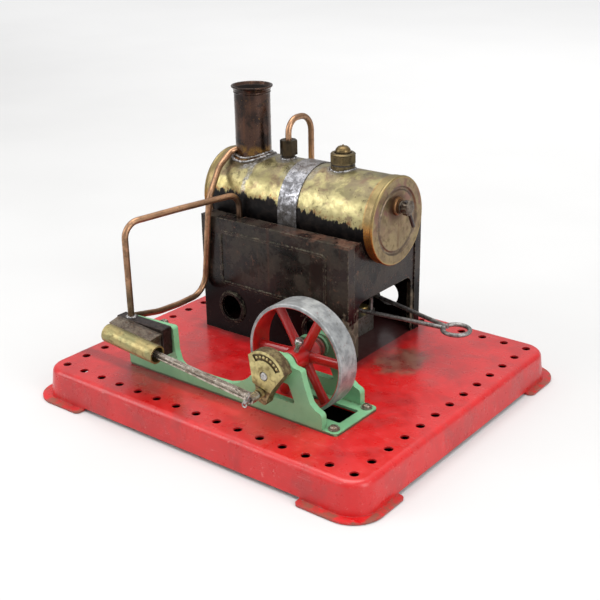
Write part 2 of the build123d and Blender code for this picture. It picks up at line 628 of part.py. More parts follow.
# ---- steam union and pipes ----
@piece
def union_bush():
    bush = turn_z(0, 0, 0, [(1.2, 18.5, 0), (BUSH_R, 18.5, 0.2), (BUSH_R, 26.4, 0), (1.2, 26.4, 0)])
    collar = cyl_z(0, 0, 20.6, 23.8, 3.2) - cyl_x(0, 0, -8, 8, SEAT_R)
    collar -= cyl_z(0, 0, 15, 30, 2.0)
    return on_boiler(UNION_X, bush + collar)


@piece
def union_nut():
    nut = Rot(0, 0, 27.5) * hexagon(0, 0, 23.8, 31.5, 8.0)
    nut = nut & turn_z(0, 0, 0, [(0, 23.8, 0), (4.75, 23.8, 0.4), (4.75, 31.5, 0.9), (0, 31.5, 0)])
    nut -= cyl_z(0, 0, 22, 28.8, BUSH_R + 0.02) + cyl_z(0, 0, 28, 34, PIPE_R + 0.02)
    return on_boiler(UNION_X, nut)


@piece
def union_nipple():
    return on_boiler(UNION_X, cyl_z(0, 0, 26.45, 28.75, 2.5) - cyl_z(0, 0, 25, 30, PIPE_R))


@piece
def steam_pipe():
    return tube_path(lift_run(STEAM_RUN), PIPE_R, PIPE_BORE)


@piece
def exhaust_pipe():
    return tube_path(lift_run(EXHAUST_RUN), PIPE_R, PIPE_BORE)


@piece
def chimney():
    """Tube with a foot plate on the barrel, a bead and a rolled lip."""
    bore_r, height = 8.8, 43.0
    # radius, height from the top of the chimney, corner radius
    shape = turn_z(CHIMNEY_X, BOILER_Y, TOP + 127.0, [
        (bore_r, -height, 0), (9.5, -height, 0), (9.5, -4.0, 0.3), (9.9, -3.6, 0.2),
        (9.6, -3.1, 0.3), (10.1, -1.6, 0.8), (10.95, -0.9, 0.3), (10.95, 0, 0.35),
        (9.9, -0.2, 0.5), (8.9, -1.8, 0.8), (bore_r, -3.5, 0.4)])
    x0, x1 = CHIMNEY_X - 20, CHIMNEY_X + 20
    plate = boiler_cyl(x0, x1, BOILER_R + 0.75) - boiler_cyl(x0, x1, SEAT_R)
    plate -= box(x0, x1, BOILER_Y - 30, BOILER_Y + 30, BOILER_Z - 30, BOILER_Z)
    shape += cyl_z(CHIMNEY_X, BOILER_Y, TOP + 80, TOP + 100, 11.4) & plate
    shape -= cyl_z(CHIMNEY_X, BOILER_Y, TOP + 80, TOP + 96, bore_r)
    shape -= boiler_cyl(x0, x1, SEAT_R)
    # hole where the last lengths of the exhaust pipe enter
    return shape - tube_path(lift_run(EXHAUST_RUN[5:]), PIPE_R + 0.02)


# ---- safety valve ----
@piece
def valve_bush():
    bush = turn_z(0, 0, 0, [(2.63, 17.5, 0), (VALVE_BUSH_R, 17.5, 0.2),
                            (VALVE_BUSH_R, 23.5, 0), (2.63, 23.5, 0.1)])
    flange = turn_z(0, 0, 0, [(3.0, 19.5, 0), (6.2, 19.5, 0), (6.2, 23.5, 0.25), (3.0, 23.5, 0)])
    return on_boiler(VALVE_X, bush + (flange - cyl_x(0, 0, -8, 8, SEAT_R)))


@piece
def valve_washer():
    return on_boiler(VALVE_X, cyl_z(0, 0, 23.55, 24.25, 6.0) - cyl_z(0, 0, 23, 26, 2.66))


@piece
def safety_valve_body():
    """Knurled head on a plain shank, bored for the stem."""
    body = slab_z(ring_points(0, 0, 104, 6.3, 6.05), 25.2, 28.7)
    body += turn_z(0, 0, 0, [
        (0, 24.3, 0), (6.3, 24.3, 0.2), (6.3, 25.0, 0.15), (6.0, 25.2, 0), (6.0, 28.7, 0),
        (6.35, 28.9, 0.15), (6.35, 29.2, 0), (5.7, 29.8, 0.2), (4.4, 29.8, 0.15),
        (4.4, 29.0, 0), (0, 29.0, 0)])
    body += cyl_z(0, 0, 17.5, 24.5, 2.6)
    return on_boiler(VALVE_X, body - cyl_z(0, 0, 10, 35, 0.85))


@piece
def safety_valve_stem():
    return on_boiler(VALVE_X, turn_z(0, 0, 0, [
        (0, 9.0, 0), (0.8, 9.0, 0.2), (0.8, 29.05, 0), (3.6, 29.05, 0.1), (3.6, 29.9, 0.1),
        (3.95, 30.2, 0.15), (3.85, 31.2, 1.2), (2.7, 32.8, 2.5), (0.45, 33.3, 0.1),
        (0.4, 33.7, 0.15), (0, 33.8, 0)]))


@piece
def safety_valve_spring():
    coil = spring(mean_radius=1.55, wire_radius=0.28, height=6.4, turns=6)
    return on_boiler(VALVE_X, Pos(0, 0, 10.75) * coil)


@piece
def safety_valve_collar():
    return on_boiler(VALVE_X, cyl_z(0, 0, 9.6, 10.4, 2.2) - cyl_z(0, 0, 9, 11, 0.8))


# ---- level plug on the right cap ----
BAR_X, BAR_R = 41.35, 0.95


def tipped(shape):
    """Turn about the plug's axis to the angle at which the cross bar rests."""
    return Pos(0, PLUG_Y, PLUG_Z) * Rot(27.0, 0, 0) * shape


@piece
def level_plug_bush():
    return turn_x(PLUG_Y, PLUG_Z, [
        (32.4, 1.93, 0), (32.4, PLUG_BUSH_R, 0.1), (35.32, PLUG_BUSH_R, 0), (35.32, 4.85, 0.2),
        (36.6, 4.7, 0.4), (37.1, 4.0, 0.3), (37.1, 1.93, 0)])


@piece
def level_plug_washer():
    return cyl_x(PLUG_Y, PLUG_Z, 37.15, 37.75, 3.5) - cyl_x(PLUG_Y, PLUG_Z, 36, 39, 1.96)


@piece
def level_plug():
    plug = turn_x(PLUG_Y, PLUG_Z, [
        (33.0, 0, 0), (33.0, 1.9, 0.3), (37.8, 1.9, 0), (37.8, 3.0, 0.2), (38.6, 3.0, 0.3),
        (38.8, 2.2, 0.3), (39.6, 2.2, 0.3), (39.8, 3.3, 0.3), (42.9, 3.3, 0.4),
        (43.2, 2.4, 0.3), (43.2, 0, 0)])
    plug += slab_x(ring_points(PLUG_Y, PLUG_Z, 24, 3.9, 3.5), 40.0, 42.7)
    return plug - tipped(Pos(BAR_X, 0, 0) * Cylinder(BAR_R, 14))


@piece
def level_plug_bar():
    bar = Pos(BAR_X, 0, -4.05) * Cylinder(BAR_R, 16.7)
    return tipped(chamfer(bar.edges(), 0.25))


# ---- firebox ----
BOX_TOP = TOP + BOX_H
AIR_X, AIR_Z, AIR_R = (-46.3, 9.3), TOP + 15.2, 6.8     # round holes in the long panels


def long_panel(outer_y, inward):
    """A long panel; inward is the direction (+1 or -1) from its outer face into the box."""
    def depth(distance):
        return outer_y + inward * distance

    panel = box(BOX_X0, BOX_X1, depth(0), depth(BOX_T), TOP, BOX_TOP)
    panel += box(BOX_X0, BOX_X1, depth(0), depth(9.1), BOX_TOP - BOX_T, BOX_TOP)
    # raised rectangular border
    x0, x1, z0, z1, width = -53.6, 15.6, TOP + 27.5, TOP + 57.0, 1.4
    hollow = rect(x0 + width, x1 - width, z0 + width, z1 - width, 2)
    panel += (slab_y(rect(x0, x1, z0, z1, 3), depth(-0.5), depth(0.1))
              - slab_y(hollow, depth(-0.5) - inward, depth(0.1) + inward))
    # holes with stepped rims
    for x in AIR_X:
        panel += cyl_y(x, AIR_Z, depth(-1.3), depth(0.1), AIR_R + 1.9)
        panel -= cyl_y(x, AIR_Z, depth(-3), depth(2), AIR_R)
        panel -= (cyl_y(x, AIR_Z, depth(-1.3), depth(-0.9), AIR_R + 2.5)
                  - cyl_y(x, AIR_Z, depth(-2.3), depth(0.1), AIR_R + 1.3))
    for x, step in ((BOX_X0, BOX_T), (BOX_X1, -BOX_T)):
        panel += box(x, x + step, depth(0), depth(5.2), TOP, BOX_TOP)
    # tabs through the base, bent inwards under it
    under = TOP - SHEET
    for x in TAB_X:
        panel += box(x - 2.5, x + 2.5, depth(0), depth(BOX_T), under - 0.6, TOP + 0.5)
        panel += box(x - 2.5, x + 2.5, depth(0), depth(3.4), under - 0.6, under)
    return panel - boiler_cyl(BOX_X0 - 5, BOX_X1 + 5, BOILER_R + 0.04)


@piece
def firebox_front():
    return long_panel(BOX_Y0, 1) - box(-48.0, -43.2, 8.0, 14, TOP + 60, TOP + 66)


@piece
def firebox_back():
    return long_panel(BOX_Y1, -1) - box(-34.4, -30.0, 57, 63.6, TOP + 60, TOP + 66)


def end_panel(box_x, inward):
    """An end panel with side flanges, just inside the flanges of the long panels."""
    outer_x = box_x + inward * (BOX_T + 0.02)
    y0, y1, top = BOX_Y0 + BOX_T, BOX_Y1 - BOX_T, BOX_TOP - BOX_T
    panel = box(outer_x, outer_x + inward * BOX_T, y0, y1, TOP, top)
    for flange_y in (y0, y1 - BOX_T):
        panel += box(outer_x, outer_x + inward * 6.5, flange_y, flange_y + BOX_T, TOP, top)
    return panel - boiler_cyl(outer_x - 10, outer_x + 10, BOILER_R + 0.04)


@piece
def firebox_end_right():
    opening = [(12.5, TOP - 1, 0), (60.5, TOP - 1, 0), (60.5, TOP + 31.5, 4.5),
               (12.5, TOP + 31.5, 4.5)]
    return end_panel(BOX_X1, -1) - slab_x(opening, BOX_X1 - 2 * BOX_T - 1.02, BOX_X1 - BOX_T + 0.98)


@piece
def firebox_end_left():
    return end_panel(BOX_X0, 1)


# ---- spirit burner ----
BURNER_Y, BURNER_Z, BURNER_T = 37.5, TOP + 0.06, 0.6
LID_Z0, LID_Z1 = BURNER_Z + 10.0, BURNER_Z + 10.7
WICK_X, WICK_TUBE_R = (-32.0, -16.0, 0.0), 3.8
FILLER_X, FILLER_Y = 5.0, BURNER_Y + 11.5


def burner_plan(grow):
    half_y = 17.5 + grow
    return rect(-42 - grow, 11 + grow, BURNER_Y - half_y, BURNER_Y + half_y, 5 + grow)


@piece
def burner_tank():
    tank = slab_z(burner_plan(0), BURNER_Z, LID_Z0)
    return tank - slab_z(burner_plan(-BURNER_T), BURNER_Z + BURNER_T, BURNER_Z + 11)


@piece
def burner_lid():
    lid = slab_z(burner_plan(BURNER_T), LID_Z0, LID_Z1)
    for x in WICK_X:
        lid -= cyl_z(x, BURNER_Y, TOP, TOP + 20, WICK_TUBE_R)
    return lid - cyl_z(FILLER_X, FILLER_Y, TOP, TOP + 20, 2.4)


@piece
def burner_wick_tubes():
    return fuse_each(lambda x: cyl_z(x, BURNER_Y, BURNER_Z + 6.0, BURNER_Z + 20.0, WICK_TUBE_R)
                     - cyl_z(x, BURNER_Y, TOP, TOP + 30, 3.3), WICK_X)


@piece
def burner_wicks():
    profile = [(0, 1.5, 0), (3.25, 1.5, 0), (3.25, 21.5, 0.8), (0, 22.2, 0)]
    return fuse_each(lambda x: turn_z(x, BURNER_Y, BURNER_Z, profile), WICK_X)


@piece
def burner_filler_cap():
    return turn_z(FILLER_X, FILLER_Y, BURNER_Z, [
        (0, 8.5, 0), (2.35, 8.5, 0), (2.35, 10.7, 0), (3.6, 10.7, 0.2), (3.6, 12.9, 0.5),
        (0, 12.9, 0)])


@piece
def burner_handle():
    """Two wires rising from the lid and meeting at a flat ring."""
    ring_x, ring_y, ring_z, wire_r = 70.4, 36.0, TOP + 20.0, 1.1

    def wire(place):
        side, start_y = place
        end_y = ring_y + side * 1.3
        return tube_path([(9.2, start_y, LID_Z1, 0), (9.2, start_y, ring_z, 2.6),
                          (62.8, end_y, ring_z, 2.6), (65.0, end_y, ring_z, 0)], wire_r)
    wires = fuse_each(wire, [(1, BURNER_Y + 14.0), (-1, BURNER_Y - 9.5)])
    return wires + Pos(ring_x, ring_y, ring_z) * Torus(6.7, wire_r)


os.makedirs("parts", exist_ok=True)
for name, make in PIECES.items():
    solids = make().solids()
    whole = Compound(children=list(solids)) if len(solids) > 1 else solids[0]
    export_step(whole, "parts/" + name + ".step")
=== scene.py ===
"""Toy steam engine: materials, solder beads, studio and camera.

A boiler lies along x over a sooty firebox at the back of a hollow red base; the oscillating
cylinder, crank and flywheel stand in front of it. x runs right, y back and z up; the base stands
on z = 0. Meshes, sizes and textures are given in millimetres, the stage and camera in metres.
"""
import bpy
import math
import random
from functools import cached_property
from mathutils import Matrix, Vector


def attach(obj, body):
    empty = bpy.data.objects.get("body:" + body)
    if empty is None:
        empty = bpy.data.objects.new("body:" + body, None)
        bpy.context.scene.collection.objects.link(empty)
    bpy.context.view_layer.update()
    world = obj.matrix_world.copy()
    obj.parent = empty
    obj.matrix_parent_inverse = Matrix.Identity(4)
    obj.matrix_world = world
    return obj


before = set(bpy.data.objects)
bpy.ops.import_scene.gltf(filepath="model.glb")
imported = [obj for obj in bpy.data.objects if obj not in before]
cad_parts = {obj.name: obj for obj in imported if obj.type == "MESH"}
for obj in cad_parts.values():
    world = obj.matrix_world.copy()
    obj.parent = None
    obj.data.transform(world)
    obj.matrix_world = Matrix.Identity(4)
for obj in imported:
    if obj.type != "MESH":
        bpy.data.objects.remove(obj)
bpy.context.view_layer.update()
MM = 0.001

# Landmarks, in millimetres. A "left" value is a distance to the left of x = 0.
BASE_TOP = 15.8
BOILER_Y = 35.5
BOILER_Z = BASE_TOP + 69.6
BARREL_RADIUS = 21.9
CHIMNEY_LEFT = 56.0
UNION_LEFT = 32.2
VALVE_X = 2.5
FIREBOX_LEFT = 18.5
AXLE_X = 34.2
AXLE_Z = BASE_TOP + 25.3

# ------------------------------------------------------------------ shading helpers


def srgb(rgb):
    """Turns an sRGB colour of 0..255 values into linear RGBA."""
    shares = [v / 255.0 for v in rgb]
    linear = [v / 12.92 if v <= 0.04045 else ((v + 0.055) / 1.055) ** 2.4 for v in shares]
    return (*linear, 1.0)


class Field:
    """A value that varies over a surface. Arithmetic on it adds Math nodes."""

    def __init__(self, surface, socket):
        self.surface = surface
        self.socket = socket

    def __add__(self, other):
        return self.surface.math("ADD", self, other)

    def __radd__(self, other):
        return self.surface.math("ADD", other, self)

    def __sub__(self, other):
        return self.surface.math("SUBTRACT", self, other)

    def __rsub__(self, other):
        return self.surface.math("SUBTRACT", other, self)

    def __mul__(self, other):
        return self.surface.math("MULTIPLY", self, other)

    def __abs__(self):
        return self.surface.math("ABSOLUTE", self)

    def root(self):
        return self.surface.math("SQRT", self)

    def either(self, other):
        """The greater of the two."""
        return self.surface.math("MAXIMUM", self, other)

    def jitter(self, noise, amount):
        """Shifts the value by noise centred on 0.5, so that its level lines wander."""
        return self + (noise - 0.5) * amount

    def ramp(self, start, end):
        """Smooth 0..1 as the value goes from start to end; end may be below start."""
        falling = end < start
        inputs = {
            0: self,
            1: min(start, end),
            2: max(start, end),
            3: 1.0 if falling else 0.0,
            4: 0.0 if falling else 1.0,
        }
        return self.surface.field("MapRange", inputs, interpolation_type="SMOOTHSTEP")

    def band(self, low, high, soft):
        """1 between low and high, with edges that fade over twice soft."""
        return self.ramp(low - soft, low + soft) * self.ramp(high + soft, high - soft)

    def between(self, at_zero, at_one):
        """Uses the field as a mask that picks between two values."""
        return self.surface.field("Mix", {0: self, 2: at_zero, 3: at_one}, data_type="FLOAT")

    def colors(self, at_zero, at_one):
        """Uses the field as a mask that picks between two colours."""
        pair = [c if isinstance(c, Field) else srgb(c) for c in (at_zero, at_one)]
        inputs = {0: self, 6: pair[0], 7: pair[1]}
        return self.surface.field("Mix", inputs, output=2, data_type="RGBA")


def distance(across, along):
    return (across * across + along * along).root()


class Surface:
    """A node material; coords, x, y and z are object coordinates in millimetres."""

    def __init__(self, name):
        self.material = bpy.data.materials.new(name)
        self.material.use_nodes = True
        self.tree = self.material.node_tree
        self.tree.nodes.clear()
        self.shader = self.new("BsdfPrincipled", {})
        self.new("OutputMaterial", {0: Field(self, self.shader.outputs[0])})
        metres = self.field("TexCoord", {}, output="Object")
        self.coords = self.field("VectorMath", {0: metres, "Scale": 1000.0}, operation="SCALE")

    @cached_property
    def axes(self):
        return self.split(self.coords)

    x = property(lambda self: self.axes[0])
    y = property(lambda self: self.axes[1])
    z = property(lambda self: self.axes[2])

    def put(self, socket, value):
        if isinstance(value, Field):
            self.tree.links.new(value.socket, socket)
        else:
            socket.default_value = value

    def new(self, kind, inputs, **settings):
        node = self.tree.nodes.new("ShaderNode" + kind)
        for name, value in settings.items():
            setattr(node, name, value)
        for key, value in inputs.items():
            self.put(node.inputs[key], value)
        return node

    def field(self, kind, inputs, output=0, **settings):
        return Field(self, self.new(kind, inputs, **settings).outputs[output])

    def split(self, vector):
        return [Field(self, socket) for socket in self.new("SeparateXYZ", {0: vector}).outputs]

    def math(self, operation, first, second=0.0, clamp=False):
        inputs = {0: first, 1: second, 2: 0.0}
        return self.field("Math", inputs, operation=operation, use_clamp=clamp)

    def normal(self, kind="Normal"):
        return self.field("NewGeometry", {}, output=kind)

    def rounded(self, radius):
        """The normal with edges rounded to the radius in millimetres."""
        return self.field("Bevel", {"Radius": radius * MM}, samples=3)

    def stretched(self, x, y, z, rotation=(0, 0, 0)):
        """Coordinates scaled per axis; a small scale draws a texture out along its axis."""
        inputs = {0: self.coords, "Rotation": rotation, "Scale": (x, y, z)}
        return self.field("Mapping", inputs)

    def noise(self, size, detail=4.0, rough=0.55, warp=0.0, coords=None, offset=0.0):
        """size: rough feature size in millimetres. offset: moves to another part of the noise."""
        coords = coords or self.coords
        if offset:
            shift = (offset, offset * 1.7, offset * 0.6)
            coords = self.field("VectorMath", {0: coords, 1: shift}, operation="ADD")
        return self.field("TexNoise", {
            "Vector": coords,
            "Scale": 1.0 / size,
            "Detail": detail,
            "Roughness": rough,
            "Distortion": warp,
        })

    def scratches(self, spacing, width, angle, seed, cover):
        """Straight scratches: thin level lines of a stretched noise, broken up by a mask."""
        coords = self.stretched(1.0 / 40.0, 1.0 / spacing, 1.0 / spacing, (0.0, 0.0, angle))
        lines = self.noise(1.0, detail=1.0, rough=0.5, coords=coords)
        patches = self.noise(9.0, detail=2.0, offset=seed)
        return abs(lines - 0.5).ramp(width, 0.0) * patches.ramp(
            0.62 - 0.2 * cover, 0.70 - 0.2 * cover)

    def edge(self, radius, gain):
        """1 on worn outer edges."""
        inputs = {0: self.rounded(radius), 1: self.normal()}
        match = self.field("VectorMath", inputs, output="Value", operation="DOT_PRODUCT")
        return self.math("MULTIPLY", 1.0 - match, gain * 4.0, clamp=True)

    def crease(self, reach, gain):
        """1 in corners where dirt gathers."""
        inputs = {"Distance": reach * MM}
        openness = self.field("AmbientOcclusion", inputs, output="AO", samples=4)
        return self.math("MULTIPLY", 1.0 - openness, gain, clamp=True)

    def layer(self, mask, color, amount=None):
        """Lays a colour over the present one where the mask is 1, weakened by amount."""
        if amount is not None:
            mask = mask * amount
        self.color = mask.colors(self.color, color)

    def finish(self, rough, metal=0.0, height=None, depth=0.02, bevel=0.15,
               coat=0.0, coat_rough=0.1, specular=0.5):
        """depth: bump per unit of height, bevel: edge radius, both in millimetres."""
        values = {
            "Base Color": self.color,
            "Roughness": rough,
            "Metallic": metal,
            "Coat Weight": coat,
            "Coat Roughness": coat_rough,
            "Specular IOR Level": specular,
        }
        if bevel:
            values["Normal"] = self.rounded(bevel)
        if height is not None:
            bump = {"Strength": 1.0, "Distance": depth * MM, "Height": height}
            if bevel:
                bump["Normal"] = values["Normal"]
            values["Normal"] = self.field("Bump", bump)
        for name, value in values.items():
            self.put(self.shader.inputs[name], value)
        return self.material


# ------------------------------------------------------------------ materials
# In each one, big, mid and fine are noises of falling feature size.


def red_base():
    mat = Surface("red_base_enamel")
    big = mat.noise(38, detail=3)
    mid = mat.noise(7, detail=5, rough=0.6, offset=11)
    fine = mat.noise(0.9, rough=0.6, offset=5)
    mat.color = big.ramp(0.38, 0.62).colors((186, 16, 20), (202, 25, 27))
    mat.layer(mid.ramp(0.5, 0.72), (212, 40, 44), amount=0.5)
    dull = mat.noise(16, detail=5, rough=0.6, offset=31).ramp(0.5, 0.66)
    mat.layer(dull, (158, 46, 46), amount=0.45)
    # fresher oval blotch on the right, by the firebox
    across, along = mat.x - 44.0, mat.y - 2.0
    blotch = (across * across + along * along * 1.6).root().jitter(mid, 30.0).ramp(24.0, 12.0)
    mat.layer(blotch, (202, 20, 20), amount=0.6)
    # handling grime and scratches
    mat.layer(fine.ramp(0.56, 0.75), (128, 60, 56), amount=0.22)
    scratch = (
        mat.scratches(spacing=1.6, width=0.006, angle=0.5, seed=3, cover=0.6)
        .either(mat.scratches(spacing=1.2, width=0.005, angle=-0.9, seed=23, cover=0.4))
        .either(mat.scratches(spacing=2.2, width=0.006, angle=1.5, seed=43, cover=0.4)))
    mat.layer(scratch, (218, 132, 128), amount=0.6)
    # broad darker smears, pale rubbed marks on the side walls and at the outer margins
    smear_coords = mat.stretched(0.05, 0.05, 0.02)
    smear = mat.noise(1.0, detail=5, rough=0.6, warp=0.6, coords=smear_coords, offset=131)
    mat.layer(smear.ramp(0.50, 0.66), (146, 18, 22), amount=0.4)
    walls = mat.z.ramp(BASE_TOP - 0.2, BASE_TOP - 1.0) * mat.z.ramp(1.5, 5.0)
    rub = mat.noise(2.6, detail=6, rough=0.72, warp=0.3, offset=141).ramp(0.63, 0.67) * walls
    mat.layer(rub, (222, 142, 136), amount=0.45)
    margin = abs(mat.x).ramp(84.0, 92.0).either(abs(mat.y).ramp(72.0, 80.0))
    pale = mat.noise(1.2, detail=5, rough=0.7, offset=151).ramp(0.70, 0.73) * margin
    mat.layer(pale, (226, 160, 152), amount=0.6)
    # painted shadow of the engine frame on the base in front of it
    frame_shadow = mat.y.jitter(mid, 3.0).band(-62.5, -55.5, soft=1.8)
    frame_shadow = frame_shadow * mat.x.jitter(mid, 20.0).ramp(42.0, -10.0)
    mat.layer(frame_shadow, (92, 12, 14), amount=0.5)
    # soot round the firebox, and a brown sheen on the right of it
    beyond_x = (abs(mat.x + FIREBOX_LEFT) - 47.5).either(0.0)
    beyond_y = (abs(mat.y - BOILER_Y) - 32.5).either(0.0)
    top = mat.z.ramp(BASE_TOP - 0.6, BASE_TOP - 0.1)
    soot = distance(beyond_x, beyond_y).jitter(mid, 9.0).ramp(8.0, 0.5) * top * 0.62
    mat.layer(soot, (74, 26, 26))
    across, along = mat.x - 45.0, mat.y - 26.0
    reach = (across * across * 1.3 + along * along * 0.9).root()
    cloud = mat.noise(9, detail=5, rough=0.62, offset=83)
    sheen = reach.jitter(cloud, 26.0).ramp(19.0, 8.0) * top
    mat.layer(sheen, mid.ramp(0.42, 0.6).colors((96, 62, 52), (118, 96, 78)), amount=0.78)
    inside_x = abs(mat.x + FIREBOX_LEFT).ramp(47.2, 46.2)
    firebox_floor = inside_x * abs(mat.y - BOILER_Y).ramp(32.2, 31.4) * top
    mat.layer(firebox_floor, (34, 16, 15), amount=0.9)
    # brown rubbed lower rims
    outside = abs(mat.x).ramp(98.5, 100.0).either(abs(mat.y).ramp(85.6, 87.2))
    foot = outside * mat.z.ramp(2.6, 1.2)
    foot_noise = mat.noise(6, detail=5, rough=0.6, offset=71)
    mat.layer(foot * foot_noise.ramp(0.40, 0.62), (142, 76, 60))
    # chips through to the grey sheet, mostly on edges
    worn_edge = mat.edge(radius=1.0, gain=1.6) * 0.16
    small_chips = (mat.noise(1.5, detail=5, rough=0.65, offset=9) + worn_edge).ramp(0.725, 0.745)
    large_chips = mat.noise(4.5, detail=6, rough=0.7, offset=59).ramp(0.735, 0.75)
    chip = small_chips.either(large_chips * 0.9)
    mat.layer(chip, mat.noise(0.6).colors((92, 80, 76), (150, 138, 130)))
    # the inside of the pressing is dull where it faces down
    inside_xy = abs(mat.x).ramp(98.2, 97.0) * abs(mat.y).ramp(85.2, 84.0)
    under = mat.z.ramp(BASE_TOP - 0.7, BASE_TOP - 0.85) * inside_xy
    facing_down = mat.split(mat.normal())[2].ramp(-0.3, -0.7)
    mat.layer(facing_down * under, (90, 30, 30), amount=0.6)
    rough = mid.ramp(0.35, 0.7).between(0.26, 0.40) + soot.either(foot) * 0.25
    ripple = mat.noise(14, detail=2, offset=17) * 3.0
    ripple = ripple + mat.noise(1.1, detail=3, offset=27) * 0.35
    return mat.finish(
        rough=chip.between(rough, 0.55), height=ripple - (chip * 0.8 + scratch * 0.35),
        depth=0.05, bevel=0.35, coat=top.between(0.12, 0.45), coat_rough=0.20)


def black_enamel(name, mouth_patch=False):
    """mouth_patch: adds a bare patch low at the right, by the firebox mouth."""
    mat = Surface(name)
    big = mat.noise(26, rough=0.6, offset=3)
    mid = mat.noise(6, detail=5, rough=0.62, warp=0.6, offset=13)
    fine = mat.noise(1.3, rough=0.6)
    mat.color = big.ramp(0.40, 0.62).colors((20, 16, 17), (36, 22, 21))
    mat.layer(mid.ramp(0.48, 0.70), (50, 35, 32), amount=0.6)
    upper = mat.z.ramp(BASE_TOP + 26, BASE_TOP + 40)
    worn = mat.noise(14, detail=5, rough=0.58, warp=0.3, offset=37).ramp(0.40, 0.62)
    worn = worn * upper.between(0.14, 0.62)
    mat.layer(worn, fine.ramp(0.3, 0.7).colors((54, 49, 43), (74, 67, 58)))
    # rust, thicker along the top edge towards the right
    edge = mat.edge(radius=0.9, gain=1.8)
    rust = (mat.noise(4.5, detail=6, rough=0.68, offset=53) + edge * 0.10).ramp(0.60, 0.68)
    top_noise = mat.noise(8, detail=5, rough=0.6, offset=67)
    top_rust = mat.z.ramp(BASE_TOP + 61.5, BASE_TOP + 62.6) * top_noise.ramp(0.42, 0.58)
    rust = (rust * 0.5).either(top_rust * 0.6 * mat.x.ramp(-30.0, 22.0))
    mat.layer(rust, fine.ramp(0.38, 0.6).colors((86, 56, 42), (128, 94, 76)))
    bare = (mat.noise(1.8, detail=5, rough=0.65, offset=87) + edge * 0.22).ramp(0.70, 0.73)
    if mouth_patch:
        across, height = mat.x - 26.0, mat.z - (BASE_TOP + 13.0)
        reach = (across * across + height * height * 0.25).root()
        outline = mat.noise(5, detail=5, rough=0.6, offset=97)
        bare = bare.either(reach.jitter(outline, 14.0).ramp(7.5, 5.5))
    mat.layer(bare, mid.ramp(0.45, 0.58).colors((98, 96, 82), (136, 130, 112)))
    runs = mat.noise(1.0, rough=0.6, coords=mat.stretched(0.35, 0.35, 0.02), offset=7)
    mat.layer(runs.ramp(0.55, 0.75), (104, 66, 50), amount=0.18)
    # nearly black lower half
    lower = mat.z.ramp(BASE_TOP + 34, BASE_TOP + 22) * (1.0 - bare.either(rust) * 0.7)
    mat.layer(lower, (7, 4, 5), amount=0.92)
    rough = rust.either(bare).between(worn.between(0.20, 0.46), 0.62)
    relief = fine * 0.25 + rust.either(bare) * -0.5
    return mat.finish(
        rough=rough.jitter(fine, 0.12), metal=bare * 0.55,
        height=mat.noise(18, detail=2, offset=19) * 4.0 + relief, depth=0.06, bevel=0.3,
        coat=lower.between(0.03, 0.0), coat_rough=0.12, specular=lower.between(0.2, 0.09))


def mint():
    mat = Surface("mint_casting_enamel")
    big = mat.noise(20, detail=3, offset=2)
    mid = mat.noise(3.5, detail=5, rough=0.62, offset=12)
    fine = mat.noise(0.8, rough=0.6)
    mat.color = big.ramp(0.35, 0.65).colors((118, 176, 130), (132, 189, 143))
    mat.layer(mid.ramp(0.52, 0.7), (100, 168, 126), amount=0.35)
    dirt = mat.crease(reach=2.2, gain=1.5)
    mat.layer(dirt * mid.ramp(0.3, 0.6), (92, 92, 62), amount=0.65)
    # painted shadow: a brown line along the front and right of the foot, where it meets the base
    foot = mat.z.jitter(mid, 1.2).ramp(BASE_TOP + 1.25, BASE_TOP + 0.75)
    foot = foot * mat.y.ramp(-56.1, -56.4).either(mat.x.ramp(64.7, 65.0))
    mat.layer(foot, (70, 52, 34), amount=0.85)
    # painted shade on the rear upright behind the flywheel
    back = mat.y.ramp(-30.0, -28.0) * mat.z.ramp(BASE_TOP + 9.0, BASE_TOP + 16.0)
    mat.layer(back, (58, 84, 64), amount=0.6)
    worn_edge = mat.edge(radius=0.7, gain=2.0) * 0.15
    chip = (mat.noise(1.5, detail=6, rough=0.68, offset=41) + worn_edge).ramp(0.69, 0.715)
    mat.layer(chip, fine.ramp(0.45, 0.6).colors((96, 82, 58), (128, 118, 92)), amount=0.9)
    spots = mat.noise(0.7, detail=3, rough=0.6, offset=61).ramp(0.70, 0.76)
    mat.layer(spots, (110, 92, 62), amount=0.55)
    return mat.finish(
        rough=chip.either(dirt).between(mid.between(0.30, 0.45), 0.6),
        height=mat.noise(2.6, offset=29) * 1.6 + (fine * 0.3 + chip * -0.6),
        depth=0.05, bevel=0.45, coat=0.3, coat_rough=0.25)


